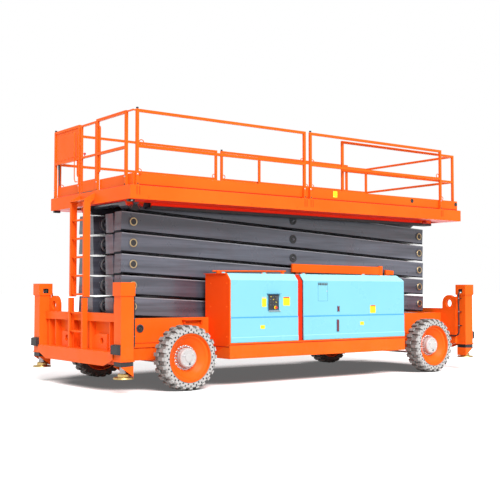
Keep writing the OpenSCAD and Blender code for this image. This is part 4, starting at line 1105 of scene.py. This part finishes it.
def engine_details():
    """Exhaust pipes and manifold, an oil filter, and a cooler's bars."""
    oil_filter = [(0.045, -0.01), (0.048, 0.10), (0.040, 0.115)]
    pipes = 4
    pipe_step = 0.18
    bars = 14
    bar_step = 0.056
    lo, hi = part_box("engine")
    y = (lo.y + hi.y) / 2
    start = lo.x + 0.20
    kit = Kit("engine_details", "chassis")
    for i in range(pipes):
        x = start + 0.17 + i * pipe_step
        kit.pipe([(x, y - 0.11, 1.02), (x, y - 0.17, 1.03), (x, y - 0.18, 0.93)], 0.022, DARK_STEEL)
        kit.bolt(Vector((x, y, 1.25)), UP, 0.018)
    manifold = [(start + 0.10, y - 0.18, 0.91), (start + 0.45, y - 0.185, 0.90),
                (start + 0.80, y - 0.18, 0.91)]
    kit.pipe(manifold, 0.035, DARK_STEEL)
    kit.turned(Vector((start + 0.62, y - 0.165, 0.56)), LEFT, oil_filter, YELLOW)
    for i in range(bars):
        kit.block(Vector((hi.x + 0.004, y, 0.48 + i * bar_step)), (0.012, 0.38, 0.012), STEEL, 0.003)
    kit.done()


for wheel in WHEELS:
    wheel_bolts(wheel)
    sidewall_holes(wheel)
for add_to_level in (pin_details, arm_painted_light, stack_hoses):
    for level in range(1, LEVEL_COUNT + 1):
        add_to_level(level)
control_panel()
hood_latches()
for hood, hood_side in (("lf", -1), ("lr", -1), ("rf", 1), ("rr", 1)):
    hood_fixings(hood, hood_side)
tray_fixings("left", -1)
tray_fixings("right", 1)
hood_stay()
platform_fixings()
gate_latch()
ladder_bolts()
for add_to_end in (end_fixings, axle_bolts):
    for end_name, end_way in ENDS:
        add_to_end(end_name, end_way)
engine_details()
finish_nodes()


# Stage, light and camera

def floor():
    """A pale floor with a painted shadow, darker where the machine stands close over it."""
    g = Graph("floor_pale")
    path = g.tree.nodes.new("ShaderNodeLightPath").outputs
    mirrored = g.math("MAXIMUM", path["Is Glossy Ray"], path["Is Transmission Ray"])
    seen = g.math("MAXIMUM", path["Is Camera Ray"], mirrored)
    # Painted shadow from ambient occlusion, its hemisphere leant towards -Y so that the shadow falls further
    # towards +Y.
    lean = g.add("CombineXYZ", X=0.0, Y=-0.72, Z=0.69)
    ao_shade = g.add("AmbientOcclusion", out="AO", samples=48, Distance=2.2, Normal=lean)
    open_sky = g.span(ao_shade, 0.42, 0.60, 0.04, 1.0)
    grain = g.mix(g.noise(2.0, 4.0), (0.86, 0.86, 0.86), (0.90, 0.90, 0.90))
    shade = g.mix(open_sky, (0.0, 0.0, 0.0), grain)
    diffuse = g.add("BsdfDiffuse", Color=g.mix(seen, (0.74, 0.74, 0.74), shade))
    # The glow carries the painted shadow too: weaker where the floor is shaded.
    shadowed_glow = g.span(open_sky, 0.04, 1.0, 0.12, 0.45)
    glow = g.add("Emission", Color=(1.0, 1.0, 1.0), Strength=g.math("MULTIPLY", seen, shadowed_glow))
    mat = g.finish(g.add("AddShader", I0=diffuse, I1=glow))
    reach = 400
    corners = [(-reach, -reach, 0), (reach, -reach, 0), (reach, reach, 0), (-reach, reach, 0)]
    mesh = bpy.data.meshes.new("floor")
    mesh.from_pydata(corners, [], [(0, 1, 2, 3)])
    mesh.materials.append(mat)
    obj = bpy.data.objects.new("floor", mesh)
    SCENE.collection.objects.link(obj)


def sun(name, aim, strength, spread):
    """A sun that shines along aim, its disc spread degrees wide."""
    lamp = bpy.data.lights.new(name, "SUN")
    lamp.energy = strength
    lamp.angle = math.radians(spread)
    obj = bpy.data.objects.new(name, lamp)
    obj.rotation_euler = Vector(aim).to_track_quat("-Z", "Y").to_euler()
    SCENE.collection.objects.link(obj)


def studio():
    """White surroundings, dimmer as light than as seen, with a soft key light and a weak side light."""
    world = bpy.data.worlds.new("studio")
    SCENE.world = world
    world.use_nodes = True
    tree = world.node_tree
    tree.nodes.clear()
    path = tree.nodes.new("ShaderNodeLightPath").outputs
    seen = path["Is Camera Ray"]
    for extra in ("Is Glossy Ray", "Is Transmission Ray"):
        join = tree.nodes.new("ShaderNodeMath")
        join.operation = "MAXIMUM"
        tree.links.new(seen, join.inputs[0])
        tree.links.new(path[extra], join.inputs[1])
        seen = join.outputs[0]
    pick = tree.nodes.new("ShaderNodeMixShader")
    tree.links.new(seen, pick.inputs[0])
    for slot, strength in ((1, 0.55), (2, 1.0)):
        sky = tree.nodes.new("ShaderNodeBackground")
        sky.inputs["Color"].default_value = (1.0, 1.0, 1.0, 1.0)
        sky.inputs["Strength"].default_value = strength
        tree.links.new(sky.outputs[0], pick.inputs[slot])
    out = tree.nodes.new("ShaderNodeOutputWorld")
    tree.links.new(pick.outputs[0], out.inputs["Surface"])
    sun("key", (0.26, 0.76, -0.60), 3.6, 30)
    sun("side", (0.85, 0.25, -0.45), 0.35, 50)


def camera():
    """The camera fitted to the photo."""
    tilt_up = 2.593
    heading = 52.894
    cam = bpy.data.cameras.new("camera")
    cam.lens = 66.31
    cam.sensor_width = 36.0
    cam.clip_end = 2000.0
    obj = bpy.data.objects.new("camera", cam)
    obj.location = (-9.936, -12.609, 1.425)
    obj.rotation_euler = (math.radians(90 + tilt_up), 0.0, math.radians(heading - 90))
    SCENE.collection.objects.link(obj)
    SCENE.camera = obj
    SCENE.view_settings.view_transform = "Standard"


floor()
studio()
camera()
